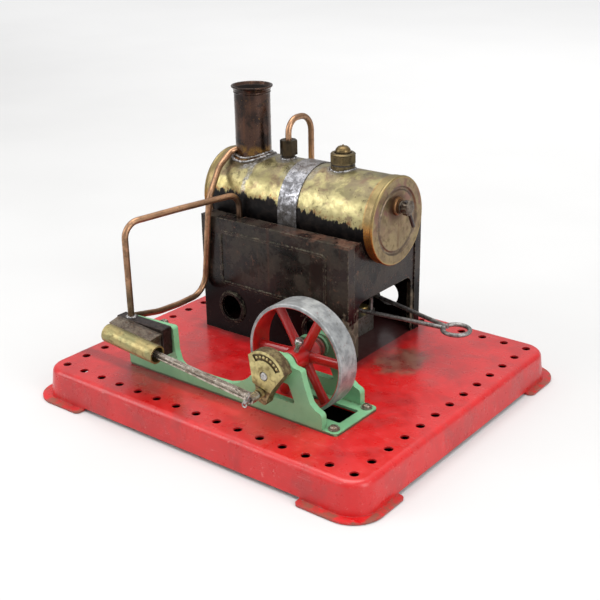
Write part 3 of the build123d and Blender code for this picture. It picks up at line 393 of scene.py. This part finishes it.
def wheel_red():
    """Red spokes and hub; the rim is bare turned steel."""
    mat = Surface("flywheel_enamel_and_bare_rim")
    radius = distance(mat.x - AXLE_X, mat.z - AXLE_Z)
    mid = mat.noise(3.0, detail=5, rough=0.6, offset=4)
    fine = mat.noise(0.7, rough=0.6, offset=14)
    big = mat.noise(12, detail=3)
    mat.color = big.ramp(0.4, 0.6).colors((168, 12, 12), (188, 24, 20))
    mat.layer(mid.ramp(0.52, 0.7), (146, 16, 16), amount=0.4)
    dirt = mat.crease(reach=2.5, gain=1.4)
    mat.layer(dirt, (62, 18, 16), amount=0.55)
    worn_edge = mat.edge(radius=0.6, gain=1.8) * 0.15
    chip = (mat.noise(1.3, detail=6, rough=0.66, offset=34) + worn_edge).ramp(0.70, 0.725)
    mat.layer(chip, (104, 88, 80), amount=0.8)
    facing_y = abs(mat.split(mat.normal("True Normal"))[1]).ramp(0.12, 0.25)
    face = facing_y * radius.jitter(fine, 0.25).ramp(24.75, 24.85)
    rim = radius.jitter(fine, 0.25).ramp(26.12, 26.22).either(face)
    # the rim's steel, with turning marks and reddish stains
    clouds = mat.noise(5, detail=5, rough=0.62, offset=54)
    metal = clouds.ramp(0.36, 0.64).colors((138, 140, 141), (178, 180, 180))
    metal = (mid.ramp(0.55, 0.72) * 0.6).colors(metal, (104, 102, 98))
    turning = mat.noise(1.0, detail=2, coords=mat.stretched(0.05, 6.0, 0.05), offset=3)
    metal = (turning.ramp(0.45, 0.65) * 0.2).colors(metal, (178, 180, 182))
    stains = mat.noise(2.2, detail=5, rough=0.7, offset=94).ramp(0.62, 0.72)
    mat.layer(rim, (stains * 0.8).colors(metal, (136, 70, 60)))
    relief = mat.noise(2.4, offset=24) * rim.between(1.4, 0.2)
    return mat.finish(
        rough=rim.between(dirt.either(chip).between(0.30, 0.55), 0.36 + mid * 0.25),
        metal=rim * 0.75, height=relief + turning * (rim * 0.35),
        depth=0.05, bevel=0.4, coat=(1.0 - rim) * 0.35, coat_rough=0.2)


def brass(name, base, dark, tint, amount, rough, seed, bevel=0.15):
    """amount: strength of the tarnish."""
    mat = Surface(name)
    big = mat.noise(11, rough=0.6, warp=0.3, offset=seed + 1)
    mid = mat.noise(2.6, detail=5, rough=0.62, offset=seed + 7)
    fine = mat.noise(0.6, rough=0.6, offset=seed + 3)
    mat.color = (big.ramp(0.42, 0.64) * amount).colors(base, tint)
    mat.layer(mid.ramp(0.5, 0.70), dark, amount=amount)
    mat.layer(fine.ramp(0.60, 0.74), [int(v * 0.55) for v in dark], amount=amount * 0.8)
    dirt = mat.crease(reach=1.6, gain=1.6)
    mat.layer(dirt, (42, 32, 20), amount=0.75)
    return mat.finish(
        rough=dirt.between(rough + mid.ramp(0.3, 0.75) * 0.22, 0.6),
        metal=dirt.between(0.95, 0.4), height=mid * 0.6 + fine * 0.3, bevel=bevel)


def boiler():
    mat = Surface("boiler_aged_brass")
    big = mat.noise(16, detail=5, rough=0.6, warp=0.4, offset=2)
    mid = mat.noise(4.2, detail=6, rough=0.64, warp=0.3, offset=12)
    fine = mat.noise(0.9, detail=5, rough=0.62, offset=22)
    height = mat.z - BOILER_Z
    mat.color = big.ramp(0.40, 0.62).colors((180, 170, 124), (156, 147, 104))
    # greenish to purple-brown clouds, the paler ones on the upper half
    clouds = mat.noise(9, detail=6, rough=0.65, warp=0.5, offset=42)
    mat.layer(clouds.ramp(0.50, 0.64), (108, 102, 78), amount=0.65)
    upper_clouds = mat.noise(7, detail=5, rough=0.62, offset=62)
    tarnish = height.ramp(9.0, 19.0) * upper_clouds.ramp(0.40, 0.60)
    mat.layer(tarnish, mid.colors((106, 96, 76), (128, 112, 100)), amount=0.7)
    mat.layer(mid.ramp(0.60, 0.70), (92, 84, 66), amount=0.75)
    brown = mat.noise(11, detail=5, rough=0.62, warp=0.6, offset=108)
    mat.layer(brown.ramp(0.54, 0.66), (118, 92, 80), amount=0.6)
    cells = {"Vector": mat.coords, "Scale": 1.0 / 2.6, "Randomness": 1.0}
    specks = mat.field("TexVoronoi", cells, feature="F1").ramp(0.16, 0.08)
    mat.layer(specks * mid.ramp(0.4, 0.6), (54, 46, 36), amount=0.8)
    # the chimney end is the more tarnished one
    chimney_end = mat.x.ramp(-34.0, -50.0) * (height.ramp(14.0, 9.0) * 0.42)
    mat.layer(chimney_end, (124, 106, 56))
    # heat tint: an orange-gold band beside the right cap
    heat = mat.x.band(29.4, 31.4, soft=0.5) * (0.25 + height.ramp(8.0, -4.0) * 0.4)
    mat.layer(heat, fine.ramp(0.4, 0.6).colors((206, 142, 58), (178, 104, 44)))
    # soot on the lower half, its brown edge eaten into flakes; it reaches lower at the right
    flakes = mat.noise(
        1.0, detail=5, rough=0.66, warp=0.4, coords=mat.stretched(0.33, 0.09, 0.09), offset=72)
    level = height.jitter(flakes, 12.0).jitter(mat.noise(2.2, rough=0.6, offset=8), 3.0)
    soot_line = mat.x.ramp(-40.0, 30.0).between(5.2, 0.4)
    soot = (level - soot_line).ramp(0.7, -0.4)
    soot_edge = (level - soot_line).ramp(3.6, 0.2) * (1.0 - soot)
    soot_edge = soot_edge * (mat.noise(3, offset=18).ramp(0.45, 0.6) * 0.85)
    mat.layer(soot_edge, (122, 66, 36))
    mat.layer(soot, mid.ramp(0.42, 0.66).colors((14, 12, 13), (36, 30, 28)))
    # dark ring round the chimney foot
    along_y = mat.y - BOILER_Y
    from_chimney = distance(mat.x + CHIMNEY_LEFT, along_y)
    upper = height.ramp(6.0, 9.0)
    dark_ring = from_chimney.jitter(mid, 6.0).ramp(17.0, 13.0) * upper
    mat.layer(dark_ring, (52, 38, 28), amount=0.8)
    # tinned patches: round chimney, union and valve, down a streak and beside the strap
    ring = from_chimney.jitter(mid, 3.4).band(13.2, 15.6, soft=0.5)
    ring = ring * mat.x.ramp(-CHIMNEY_LEFT, -50.0) * upper
    streak = mat.x.jitter(mat.noise(6, offset=28), 5.0).band(-48.2, -45.4, soft=0.5)
    streak_front = height.ramp(4.0, 8.0) * mat.y.ramp(BOILER_Y + 6, BOILER_Y - 2)
    streak = streak * streak_front
    from_union = distance(mat.x + UNION_LEFT, along_y)
    union = from_union.jitter(mid, 5.0).ramp(8.0, 6.6) * upper
    from_valve = distance(mat.x - VALVE_X, along_y)
    valve = from_valve.jitter(mid, 4.0).ramp(9.2, 7.6) * upper
    lane = mat.x.jitter(mid, 3.0).band(-26.5, -6.8, soft=0.5)
    lane = lane * height.jitter(big, 9.0).ramp(14.5, 17.5)
    tin = ring.either(streak).either((union * 0.8).either((valve * 0.7).either(lane * 0.5)))
    tin = tin * (1.0 - soot * 0.8) * mid.ramp(0.44, 0.60).between(0.45, 1.0)
    mat.layer(tin, fine.ramp(0.4, 0.6).colors((112, 108, 100), (158, 157, 158)))
    rough = soot.between(0.27 + mid.ramp(0.35, 0.7) * 0.25, 0.42) + tarnish * 0.12
    dents = mat.noise(9, detail=3, offset=52) * 2.5 + mid * 0.5
    return mat.finish(
        rough=rough, metal=soot.between(0.92, 0.1), height=dents + (tin * 1.3 + soot * 0.5),
        depth=0.05, bevel=0.0, specular=soot.between(0.5, 0.14))


def cap_brass(name, right):
    """Boiler end; the right one is stained round its level plug, the left one sooted low down."""
    mat = Surface(name)
    across, height = mat.y - BOILER_Y, mat.z - BOILER_Z
    radius = distance(across, height)
    big = mat.noise(12, detail=5, rough=0.62, warp=0.4, offset=2)
    mid = mat.noise(3.2, detail=6, rough=0.64, warp=0.3, offset=12)
    fine = mat.noise(0.8, detail=5, rough=0.62, offset=22)
    mat.color = big.ramp(0.40, 0.62).colors((150, 132, 98), (130, 112, 86))
    mat.layer(mid.ramp(0.50, 0.66), (104, 90, 66), amount=0.6)
    purple = mat.noise(8, detail=5, rough=0.6, warp=0.4, offset=46).ramp(0.44, 0.60)
    purple = purple * height.ramp(-12.0, 8.0)
    mat.layer(purple, mid.colors((122, 76, 70), (142, 104, 100)), amount=0.75)
    groove = radius.band(14.9, 17.6, soft=0.35) * mid.ramp(0.30, 0.55)
    mat.layer(groove, (104, 92, 88), amount=0.6)
    mat.layer(radius.ramp(21.2, 21.8), (178, 152, 90), amount=0.45)
    # the wall round the rim, heat-tinted on its lower part
    wall = radius.ramp(22.1, 22.3)
    mat.layer(wall, (128, 118, 82), amount=0.6)
    skirt = wall * height.jitter(mid, 8.0).ramp(7.0, -3.0)
    mat.layer(skirt, fine.ramp(0.4, 0.6).colors((206, 138, 56), (170, 100, 46)), amount=0.75)
    mat.layer(fine.ramp(0.60, 0.72), (74, 60, 44), amount=0.5)
    dirt = mat.crease(reach=3.0, gain=1.3)
    mat.layer(dirt, (62, 44, 32), amount=0.8)
    if right:
        plug_y, plug_z = 35.2, BASE_TOP + 77.4
        from_plug = ((mat.y - plug_y) * (mat.y - plug_y)
                     + (mat.z - plug_z) * (mat.z - plug_z)).root()
        mat.layer(from_plug.jitter(mid, 7.0).ramp(9.5, 5.0), (84, 54, 38), amount=0.8)
        runs = mat.noise(1.0, rough=0.6, coords=mat.stretched(0.4, 0.4, 0.05), offset=6)
        below_plug = height.ramp(6.0, -2.0) * abs(across).ramp(9.0, 3.0)
        mat.layer(runs.ramp(0.5, 0.66) * below_plug, (112, 84, 58), amount=0.5)
    else:
        mat.layer(height.jitter(mid, 12.0).ramp(2.0, -4.0), (40, 32, 30), amount=0.85)
    scratch = mat.scratches(spacing=1.0, width=0.006, angle=0.3, seed=8, cover=0.6)
    mat.layer(scratch, (190, 172, 120), amount=0.4)
    return mat.finish(
        rough=dirt.between(0.30 + mid.ramp(0.35, 0.7) * 0.25, 0.55),
        metal=dirt.between(0.92, 0.4),
        height=mid * 0.5 + (mat.noise(9, detail=2) * 2.0 + scratch * -0.3),
        depth=0.04, bevel=0.2)


def strap():
    mat = Surface("tinned_strap")
    mid = mat.noise(4.0, detail=5, rough=0.58, warp=0.5, offset=4)
    fine = mat.noise(1.1, offset=14)
    height = mat.z - BOILER_Z
    mat.color = mid.ramp(0.42, 0.58).colors((122, 122, 126), (184, 184, 189))
    mat.layer(fine.ramp(0.50, 0.62), (88, 84, 80), amount=0.45)
    low = height.jitter(mid, 14.0).ramp(10.0, -2.0)
    mat.layer(low, fine.colors((44, 37, 30), (72, 65, 54)), amount=0.75)
    top = height.jitter(fine, 5.0).ramp(18.5, 20.5)
    mat.layer(top, (108, 100, 92), amount=0.5)
    return mat.finish(
        rough=0.26 + fine.ramp(0.35, 0.6) * 0.35, metal=0.85,
        height=mid * 1.2 + fine * 0.5, depth=0.05)


def chimney():
    mat = Surface("chimney_browned_brass")
    mid = mat.noise(5, detail=6, rough=0.64, warp=0.5, offset=4)
    fine = mat.noise(1.0, detail=5, rough=0.6, offset=14)
    streak_coords = mat.stretched(0.30, 0.30, 0.03)
    streak = mat.noise(1.0, detail=5, rough=0.6, coords=streak_coords, offset=9)
    big = mat.noise(12, offset=24)
    mat.color = big.ramp(0.42, 0.62).colors((76, 56, 48), (46, 38, 36))
    mat.layer(streak.ramp(0.48, 0.66), (96, 66, 50), amount=0.55)
    mat.layer(mid.ramp(0.54, 0.66), (44, 40, 38), amount=0.7)
    mat.layer(fine.ramp(0.6, 0.7), (150, 112, 66), amount=0.4)
    foot = mat.z.ramp(BASE_TOP + 97.5, BASE_TOP + 94.0)
    mat.layer(foot * mid.ramp(0.40, 0.56), fine.colors((58, 44, 30), (150, 112, 58)))
    bore = distance(mat.x + CHIMNEY_LEFT, mat.y - BOILER_Y).ramp(9.2, 8.95)
    mat.layer(bore, (20, 16, 15), amount=0.85)
    # upright seam on the front, right of the axis
    seam = abs(mat.x - -53.0).ramp(0.35, 0.1) * mat.y.ramp(BOILER_Y, 33.0)
    return mat.finish(
        rough=bore.between(0.16 + mid.ramp(0.35, 0.7) * 0.20, 0.8),
        metal=bore.between(0.85, 0.1), height=mid * 0.5 + (streak * 0.5 + seam * 0.6),
        depth=0.04)


def copper(name, seed):
    mat = Surface(name)
    mid = mat.noise(4.5, detail=6, rough=0.62, warp=0.3, offset=seed + 4)
    fine = mat.noise(0.9, detail=5, rough=0.62, offset=seed + 14)
    big = mat.noise(14, offset=seed + 1)
    mat.color = big.ramp(0.40, 0.60).colors((184, 142, 110), (156, 120, 92))
    mat.layer(mid.ramp(0.50, 0.64), (118, 92, 72), amount=0.65)
    mat.layer(fine.ramp(0.54, 0.68), (88, 70, 56), amount=0.5)
    green = mat.noise(7, detail=5, rough=0.6, offset=seed + 40)
    mat.layer(green.ramp(0.60, 0.70), (146, 138, 104), amount=0.45)
    # darker where it passes the hot firebox
    hot = mat.y.ramp(6.0, 16.0) * mat.z.ramp(BASE_TOP + 66, BASE_TOP + 56)
    mat.layer(hot, fine.ramp(0.4, 0.6).colors((108, 90, 64), (78, 62, 46)), amount=0.5)
    # nearly black on the stretch right of x = -50, below the boiler top
    blackened = mat.x.ramp(-52.0, -48.0) * mat.y.ramp(4.0, 10.0)
    blackened = blackened * mat.z.ramp(BASE_TOP + 79.5, BASE_TOP + 73.0)
    mat.layer(blackened, (34, 27, 24), amount=0.85)
    # oily low at the front, by the engine
    oily = mat.z.jitter(mid, 16.0).ramp(BASE_TOP + 52.0, BASE_TOP + 38.0)
    oily = oily * mat.y.ramp(-40.0, -50.0)
    mat.layer(oily, fine.ramp(0.42, 0.6).colors((84, 82, 66), (58, 54, 44)), amount=0.7)
    return mat.finish(
        rough=0.28 + mid.ramp(0.35, 0.7) * 0.25, metal=0.9,
        height=mid * 0.7 + fine * 0.3, depth=0.03, bevel=0.0)


def steel(name, light, dark, rust, rust_at, rough, seed=0.0, drawn_along_x=False):
    """rust_at: noise level above which rust shows, so a lower one gives more rust."""
    mat = Surface(name)
    mid = mat.noise(2.8, detail=6, rough=0.64, offset=seed + 4)
    fine = mat.noise(0.5, detail=5, rough=0.62, offset=seed + 14)
    coords = mat.stretched(0.06, 1.6, 1.6) if drawn_along_x else None
    brush = mat.noise(1.0, detail=3, rough=0.6, coords=coords, offset=seed + 2)
    mat.color = mid.ramp(0.36, 0.62).colors(light, dark)
    brighter = [min(255, int(v * 1.15)) for v in light]
    mat.layer(brush.ramp(0.45, 0.62), brighter, amount=0.5)
    rusted = mat.noise(1.6, detail=6, rough=0.68, offset=seed + 30).ramp(rust_at, rust_at + 0.06)
    mat.layer(rusted, rust, amount=0.8)
    dirt = mat.crease(reach=1.2, gain=1.6)
    mat.layer(dirt, (40, 32, 26), amount=0.7)
    return mat.finish(
        rough=rough + (fine.ramp(0.35, 0.7) * 0.18 + rusted * 0.25),
        metal=rusted.either(dirt).between(0.9, 0.35),
        height=fine * 0.4 + brush * 0.5, depth=0.015, bevel=0.12)


def crank_brass():
    mat = Surface("crank_web_cast_brass")
    radius = distance(mat.x - AXLE_X, mat.z - AXLE_Z)
    mid = mat.noise(2.2, detail=6, rough=0.64, offset=4)
    fine = mat.noise(0.5, detail=5, rough=0.62, offset=14)
    big = mat.noise(6, offset=1)
    mat.color = big.ramp(0.40, 0.62).colors((206, 192, 136), (174, 160, 112))
    mat.layer(mid.ramp(0.50, 0.66), (104, 88, 52), amount=0.6)
    behind_face = mat.y.ramp(-67.75, -67.35)
    mat.layer(behind_face * (0.55 + mid.ramp(0.4, 0.6) * 0.35), (88, 70, 56))
    sunk = radius.band(7.4, 10.8, soft=0.15) * mat.y.band(-67.5, -67.1, soft=0.06)
    mat.layer(sunk, (92, 76, 50), amount=0.7)
    dirt = mat.crease(reach=1.0, gain=1.6)
    mat.layer(dirt, (40, 30, 20), amount=0.7)
    mat.layer(fine.ramp(0.6, 0.72), (72, 58, 38), amount=0.5)
    return mat.finish(
        rough=0.32 + mid.ramp(0.35, 0.7) * 0.25, metal=dirt.between(0.9, 0.4),
        height=mid * 0.8 + fine * 0.4, depth=0.04, bevel=0.2)


def cotton():
    """Twisted wick, charred at its upper end."""
    mat = Surface("wick_cotton")
    coords = mat.stretched(1.6, 1.6, 0.9, rotation=(0.4, 0.3, 0.0))
    twist = mat.field("TexWave", {"Vector": coords, "Scale": 1.0, "Distortion": 4.0}, output=1)
    mat.color = twist.colors((150, 138, 112), (204, 192, 164))
    char = (mat.z + mat.noise(1.5) * 3.0).ramp(BASE_TOP + 20.5, BASE_TOP + 22.5)
    mat.layer(char, (30, 26, 24), amount=0.9)
    return mat.finish(rough=0.9, height=twist, depth=0.15, bevel=0.0)


def dull_red():
    mat = Surface("drive_pulley_enamel")
    mid = mat.noise(1.6, detail=5, rough=0.6, offset=4)
    mat.color = mid.ramp(0.42, 0.62).colors((120, 44, 36), (86, 40, 34))
    mat.layer(mat.edge(radius=0.4, gain=1.6) * mid.ramp(0.4, 0.6), (130, 110, 96))
    return mat.finish(rough=0.35 + mid * 0.3, metal=0.1, height=mid, depth=0.04, bevel=0.2)


def solder():
    mat = Surface("solder_grey")
    mid = mat.noise(1.4, detail=5, rough=0.65, warp=0.4, offset=4)
    mat.color = mid.ramp(0.40, 0.60).colors((110, 106, 102), (178, 178, 180))
    mat.layer(mat.noise(3.0, offset=24).ramp(0.52, 0.64), (84, 66, 48), amount=0.6)
    return mat.finish(rough=0.30 + mid * 0.25, metal=0.85, height=mid, depth=0.08, bevel=0.0)


# Columns: name, light, dark, rust colour, rust level, roughness, seed, pieces.
STEELS = [
    ("bright_turned_steel", (186, 184, 182), (140, 134, 128), (94, 66, 48), 0.66, 0.22, 0,
     "trunnion_pin trunnion_spring trunnion_washer crank_pin crank_pin_clip crankshaft "
     "flywheel_grub_screw safety_valve_spring"),
    ("piston_rod_steel", (198, 188, 176), (134, 120, 106), (78, 58, 46), 0.56, 0.20, 5,
     "piston_rod"),
    ("dark_oiled_steel", (84, 80, 78), (52, 48, 47), (78, 58, 46), 0.58, 0.36, 11,
     "frame_nuts port_block_screws valve_washer level_plug_bar"),
    ("port_block_steel", (66, 58, 56), (40, 35, 34), (92, 68, 54), 0.60, 0.34, 17,
     "port_block"),
    ("port_face_steel", (118, 108, 96), (74, 64, 58), (92, 66, 46), 0.56, 0.34, 23,
     "cylinder_port_face level_plug"),
    ("handle_wire_steel", (150, 148, 146), (104, 100, 98), (92, 70, 56), 0.60, 0.38, 29,
     "burner_handle"),
    ("screw_steel", (168, 160, 146), (118, 104, 90), (112, 78, 54), 0.54, 0.34, 31,
     "frame_screws frame_washers trunnion_nut"),
    ("tinplate_dull", (150, 148, 142), (112, 108, 100), (104, 76, 54), 0.58, 0.34, 37,
     "burner_tank burner_lid burner_wick_tubes"),
]
# Columns: name, base, dark, tint, tarnish amount, roughness, seed, bevel, pieces.
BRASSES = [
    ("cylinder_brass", (166, 150, 104), (98, 86, 58), (120, 126, 92), 0.65, 0.34, 3, 0.15,
     "cylinder_tube"),
    ("valve_dull_brass", (118, 102, 72), (66, 55, 40), (92, 86, 66), 0.65, 0.34, 9, 0.12,
     "valve_bush safety_valve_body"),
    ("valve_dome_brass", (124, 104, 70), (74, 60, 42), (96, 88, 62), 0.5, 0.26, 15, 0.15,
     "safety_valve_stem safety_valve_collar"),
    ("union_dark_bronze", (72, 60, 44), (36, 30, 24), (56, 52, 42), 0.7, 0.32, 21, 0.25,
     "union_bush union_nut union_nipple"),
    ("plug_bush_brown", (122, 88, 58), (74, 50, 36), (96, 78, 58), 0.7, 0.36, 27, 0.15,
     "level_plug_bush level_plug_washer"),
    ("plain_brass", (186, 162, 98), (116, 96, 56), (132, 126, 84), 0.5, 0.28, 33, 0.15,
     "cylinder_end_plug piston burner_filler_cap"),
]
look = {}


def assign(material, pieces):
    for piece in pieces.split():
        look[piece] = material


for *settings, pieces in STEELS:
    assign(steel(*settings, drawn_along_x=pieces == "piston_rod"), pieces)
for *settings, pieces in BRASSES:
    assign(brass(*settings), pieces)
assign(black_enamel("firebox_enamel_plain"), "firebox_back firebox_end_left")
SOLDER = solder()
assign(red_base(), "base_plate")
assign(mint(), "engine_frame")
assign(crank_brass(), "crank_web")
assign(wheel_red(), "flywheel")
assign(dull_red(), "drive_pulley")
assign(boiler(), "boiler_barrel")
assign(cap_brass("boiler_end_right_brass", right=True), "boiler_cap_right")
assign(cap_brass("boiler_end_left_brass", right=False), "boiler_cap_left")
assign(strap(), "boiler_strap")
assign(copper("steam_pipe_copper", seed=0.0), "steam_pipe")
assign(copper("exhaust_pipe_copper", seed=50.0), "exhaust_pipe")
assign(chimney(), "chimney")
assign(black_enamel("firebox_enamel_front", mouth_patch=True), "firebox_front")
assign(black_enamel("firebox_enamel_mouth", mouth_patch=True), "firebox_end_right")
assign(cotton(), "burner_wicks")

for name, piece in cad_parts.items():
    piece.data.materials.clear()
    piece.data.materials.append(look[name])

# ------------------------------------------------------------------ solder beads


def link_mesh(name, verts, faces, material):
    """Makes a mesh object; vertices are in metres."""
    mesh = bpy.data.meshes.new(name)
    mesh.from_pydata(verts, [], faces)
    obj = bpy.data.objects.new(name, mesh)
    bpy.context.scene.collection.objects.link(obj)
    mesh.materials.append(material)
    return obj


def bead(name, path, radii, sides=10):
    """A closed lumpy bead of solder along a loop of points."""
    count = len(path)
    verts, faces = [], []
    for i in range(count):
        centre = Vector(path[i])
        tangent = (Vector(path[(i + 1) % count]) - Vector(path[i - 1])).normalized()
        side = tangent.cross(Vector((0, 0, 1))).normalized()
        up = side.cross(tangent)
        for k in range(sides):
            turn = 2 * math.pi * k / sides
            point = centre + (side * math.cos(turn) + up * math.sin(turn)) * radii[i]
            verts.append(tuple(c * MM for c in point))
    for i in range(count):
        j = (i + 1) % count
        for k in range(sides):
            m = (k + 1) % sides
            faces.append((i * sides + k, i * sides + m, j * sides + m, j * sides + k))
    obj = link_mesh(name, verts, faces, SOLDER)
    obj.data.validate()
    for polygon in obj.data.polygons:
        polygon.use_smooth = True
    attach(obj, "base")


def saddle_bead(name, centre_x, radius, thickness, seed, lift=0.0):
    """A wavering bead round an upright part, following the top of the barrel."""
    draws = random.Random(seed)
    phase = [draws.uniform(0, 6.28) for _ in range(4)]
    path, radii = [], []
    for i in range(96):
        turn = 2 * math.pi * i / 96
        waver = (0.25 * math.sin(3 * turn + phase[0]) + 0.2 * math.sin(7 * turn + phase[1])
                 + 0.12 * math.sin(13 * turn + phase[2]))
        reach = radius + 0.35 * waver
        x, y = centre_x + reach * math.cos(turn), BOILER_Y + reach * math.sin(turn)
        z = BOILER_Z + math.sqrt(BARREL_RADIUS ** 2 - (y - BOILER_Y) ** 2) + lift
        path.append((x, y, z))
        radii.append(thickness * (1.0 + 0.45 * waver + 0.15 * math.sin(29 * turn + phase[3])))
    bead(name, path, radii)


def pipe_joint_bead():
    """A level bead where the steam pipe enters the port block."""
    pipe_x, pipe_y, joint_z = -56.8, -59.6, BASE_TOP + 28.6
    ring_radius = 2.0
    path, radii = [], []
    for i in range(48):
        turn = 2 * math.pi * i / 48
        path.append((pipe_x + ring_radius * math.cos(turn),
                     pipe_y + ring_radius * math.sin(turn), joint_z))
        radii.append(0.75 + 0.18 * math.sin(3 * turn + 1) + 0.1 * math.sin(8 * turn))
    bead("solder_pipe_joint", path, radii)


saddle_bead("solder_chimney_foot", -CHIMNEY_LEFT, radius=11.4, thickness=0.72, seed=3)
saddle_bead("solder_chimney_fillet", -CHIMNEY_LEFT, radius=9.75, thickness=0.62, seed=13,
            lift=0.75)
saddle_bead("solder_valve_bush", VALVE_X, radius=6.35, thickness=0.55, seed=5)
saddle_bead("solder_union_bush", -UNION_LEFT, radius=3.7, thickness=0.75, seed=9)
pipe_joint_bead()

# ------------------------------------------------------------------ stage, light, camera


def ground(name, half_x, half_y, drop, material):
    """A flat sheet set a little below z = 0; lengths in metres."""
    corners = [(-half_x, -half_y, 0), (half_x, -half_y, 0), (half_x, half_y, 0),
               (-half_x, half_y, 0)]
    sheet = link_mesh(name, corners, [(0, 1, 2, 3)], material)
    sheet.location.z = -drop


def studio_floor():
    """Pale floor that glows towards the back."""
    mat = Surface("studio_floor")
    clouds = mat.noise(160, detail=2)
    mat.color = clouds.ramp(0.3, 0.7).colors((211, 211, 211), (214, 214, 214))
    mat.put(mat.shader.inputs["Emission Color"], (1.0, 1.0, 1.0, 1.0))
    mat.put(mat.shader.inputs["Emission Strength"], mat.y.ramp(60.0, 1000.0) * 0.35)
    return mat.finish(rough=0.65, bevel=0.0, specular=0.2)


def shaded_ground():
    mat = Surface("shaded_ground")
    mat.color = mat.noise(20, detail=3).colors((16, 12, 12), (24, 18, 18))
    return mat.finish(rough=0.8, bevel=0.0, specular=0.1)


def area_light(name, location, target, width, height, power, color=(1, 1, 1)):
    light = bpy.data.lights.new(name, "AREA")
    light.shape = "RECTANGLE"
    light.size, light.size_y = width, height
    light.energy = power
    light.color = color
    obj = bpy.data.objects.new(name, light)
    obj.location = location
    obj.rotation_mode = "QUATERNION"
    aim = Vector(target) - Vector(location)
    obj.rotation_quaternion = aim.to_track_quat("-Z", "Y")
    bpy.context.scene.collection.objects.link(obj)


def studio_world():
    """Grey at the horizon and below, rising to white overhead."""
    world = bpy.data.worlds.new("studio")
    bpy.context.scene.world = world
    world.use_nodes = True
    nodes, links = world.node_tree.nodes, world.node_tree.links
    nodes.clear()
    output = nodes.new("ShaderNodeOutputWorld")
    background = nodes.new("ShaderNodeBackground")
    coords = nodes.new("ShaderNodeTexCoord")
    axes = nodes.new("ShaderNodeSeparateXYZ")
    ramp = nodes.new("ShaderNodeValToRGB")
    low, high = ramp.color_ramp.elements
    low.position, low.color = 0.0, (0.42, 0.42, 0.43, 1)
    high.position, high.color = 0.75, (1.0, 1.0, 1.0, 1)
    background.inputs["Strength"].default_value = 0.78
    links.new(coords.outputs["Generated"], axes.inputs[0])
    links.new(axes.outputs[2], ramp.inputs[0])
    links.new(ramp.outputs[0], background.inputs[0])
    links.new(background.outputs[0], output.inputs[0])


def place_camera(location, azimuth, elevation, roll, lens):
    """Angles in degrees; azimuth turns from the front towards the right."""
    azimuth, elevation, roll = (math.radians(v) for v in (azimuth, elevation, roll))
    back = Vector((math.sin(azimuth) * math.cos(elevation),
                   -math.cos(azimuth) * math.cos(elevation), math.sin(elevation)))
    right = Vector((math.cos(azimuth), math.sin(azimuth), 0))
    up = back.cross(right)
    rolled_right = right * math.cos(roll) + up * math.sin(roll)
    rolled_up = up * math.cos(roll) - right * math.sin(roll)
    camera = bpy.data.cameras.new("camera")
    camera.sensor_width = 36.0
    camera.lens = lens
    camera.clip_start, camera.clip_end = 0.01, 50.0
    obj = bpy.data.objects.new("camera", camera)
    rotation = Matrix((rolled_right, rolled_up, back)).transposed().to_4x4()
    obj.matrix_world = Matrix.Translation(location) @ rotation
    bpy.context.scene.collection.objects.link(obj)
    bpy.context.scene.camera = obj


ground("floor", half_x=8.0, half_y=8.0, drop=0.0003, material=studio_floor())
# darkens the ground under the hollow base
ground("shaded_ground", half_x=0.0968, half_y=0.0838, drop=0.0001, material=shaded_ground())

area_light("key_top", location=(-0.12, 0.02, 1.10), target=(0, 0, 0.05),
           width=0.9, height=0.9, power=9.0, color=(1.0, 0.99, 0.97))
area_light("side_right", location=(1.0, -0.15, 0.45), target=(0, 0, 0.05),
           width=0.5, height=0.8, power=5.0)
area_light("side_left", location=(-0.75, -0.75, 0.5), target=(0, 0, 0.04),
           width=0.5, height=0.7, power=4.0)
studio_world()
place_camera(location=(0.31096, -0.39029, 0.24942), azimuth=38.40, elevation=22.10,
             roll=-1.01, lens=64.70)
bpy.context.scene.view_settings.view_transform = "Standard"
bpy.context.scene.view_settings.look = "None"
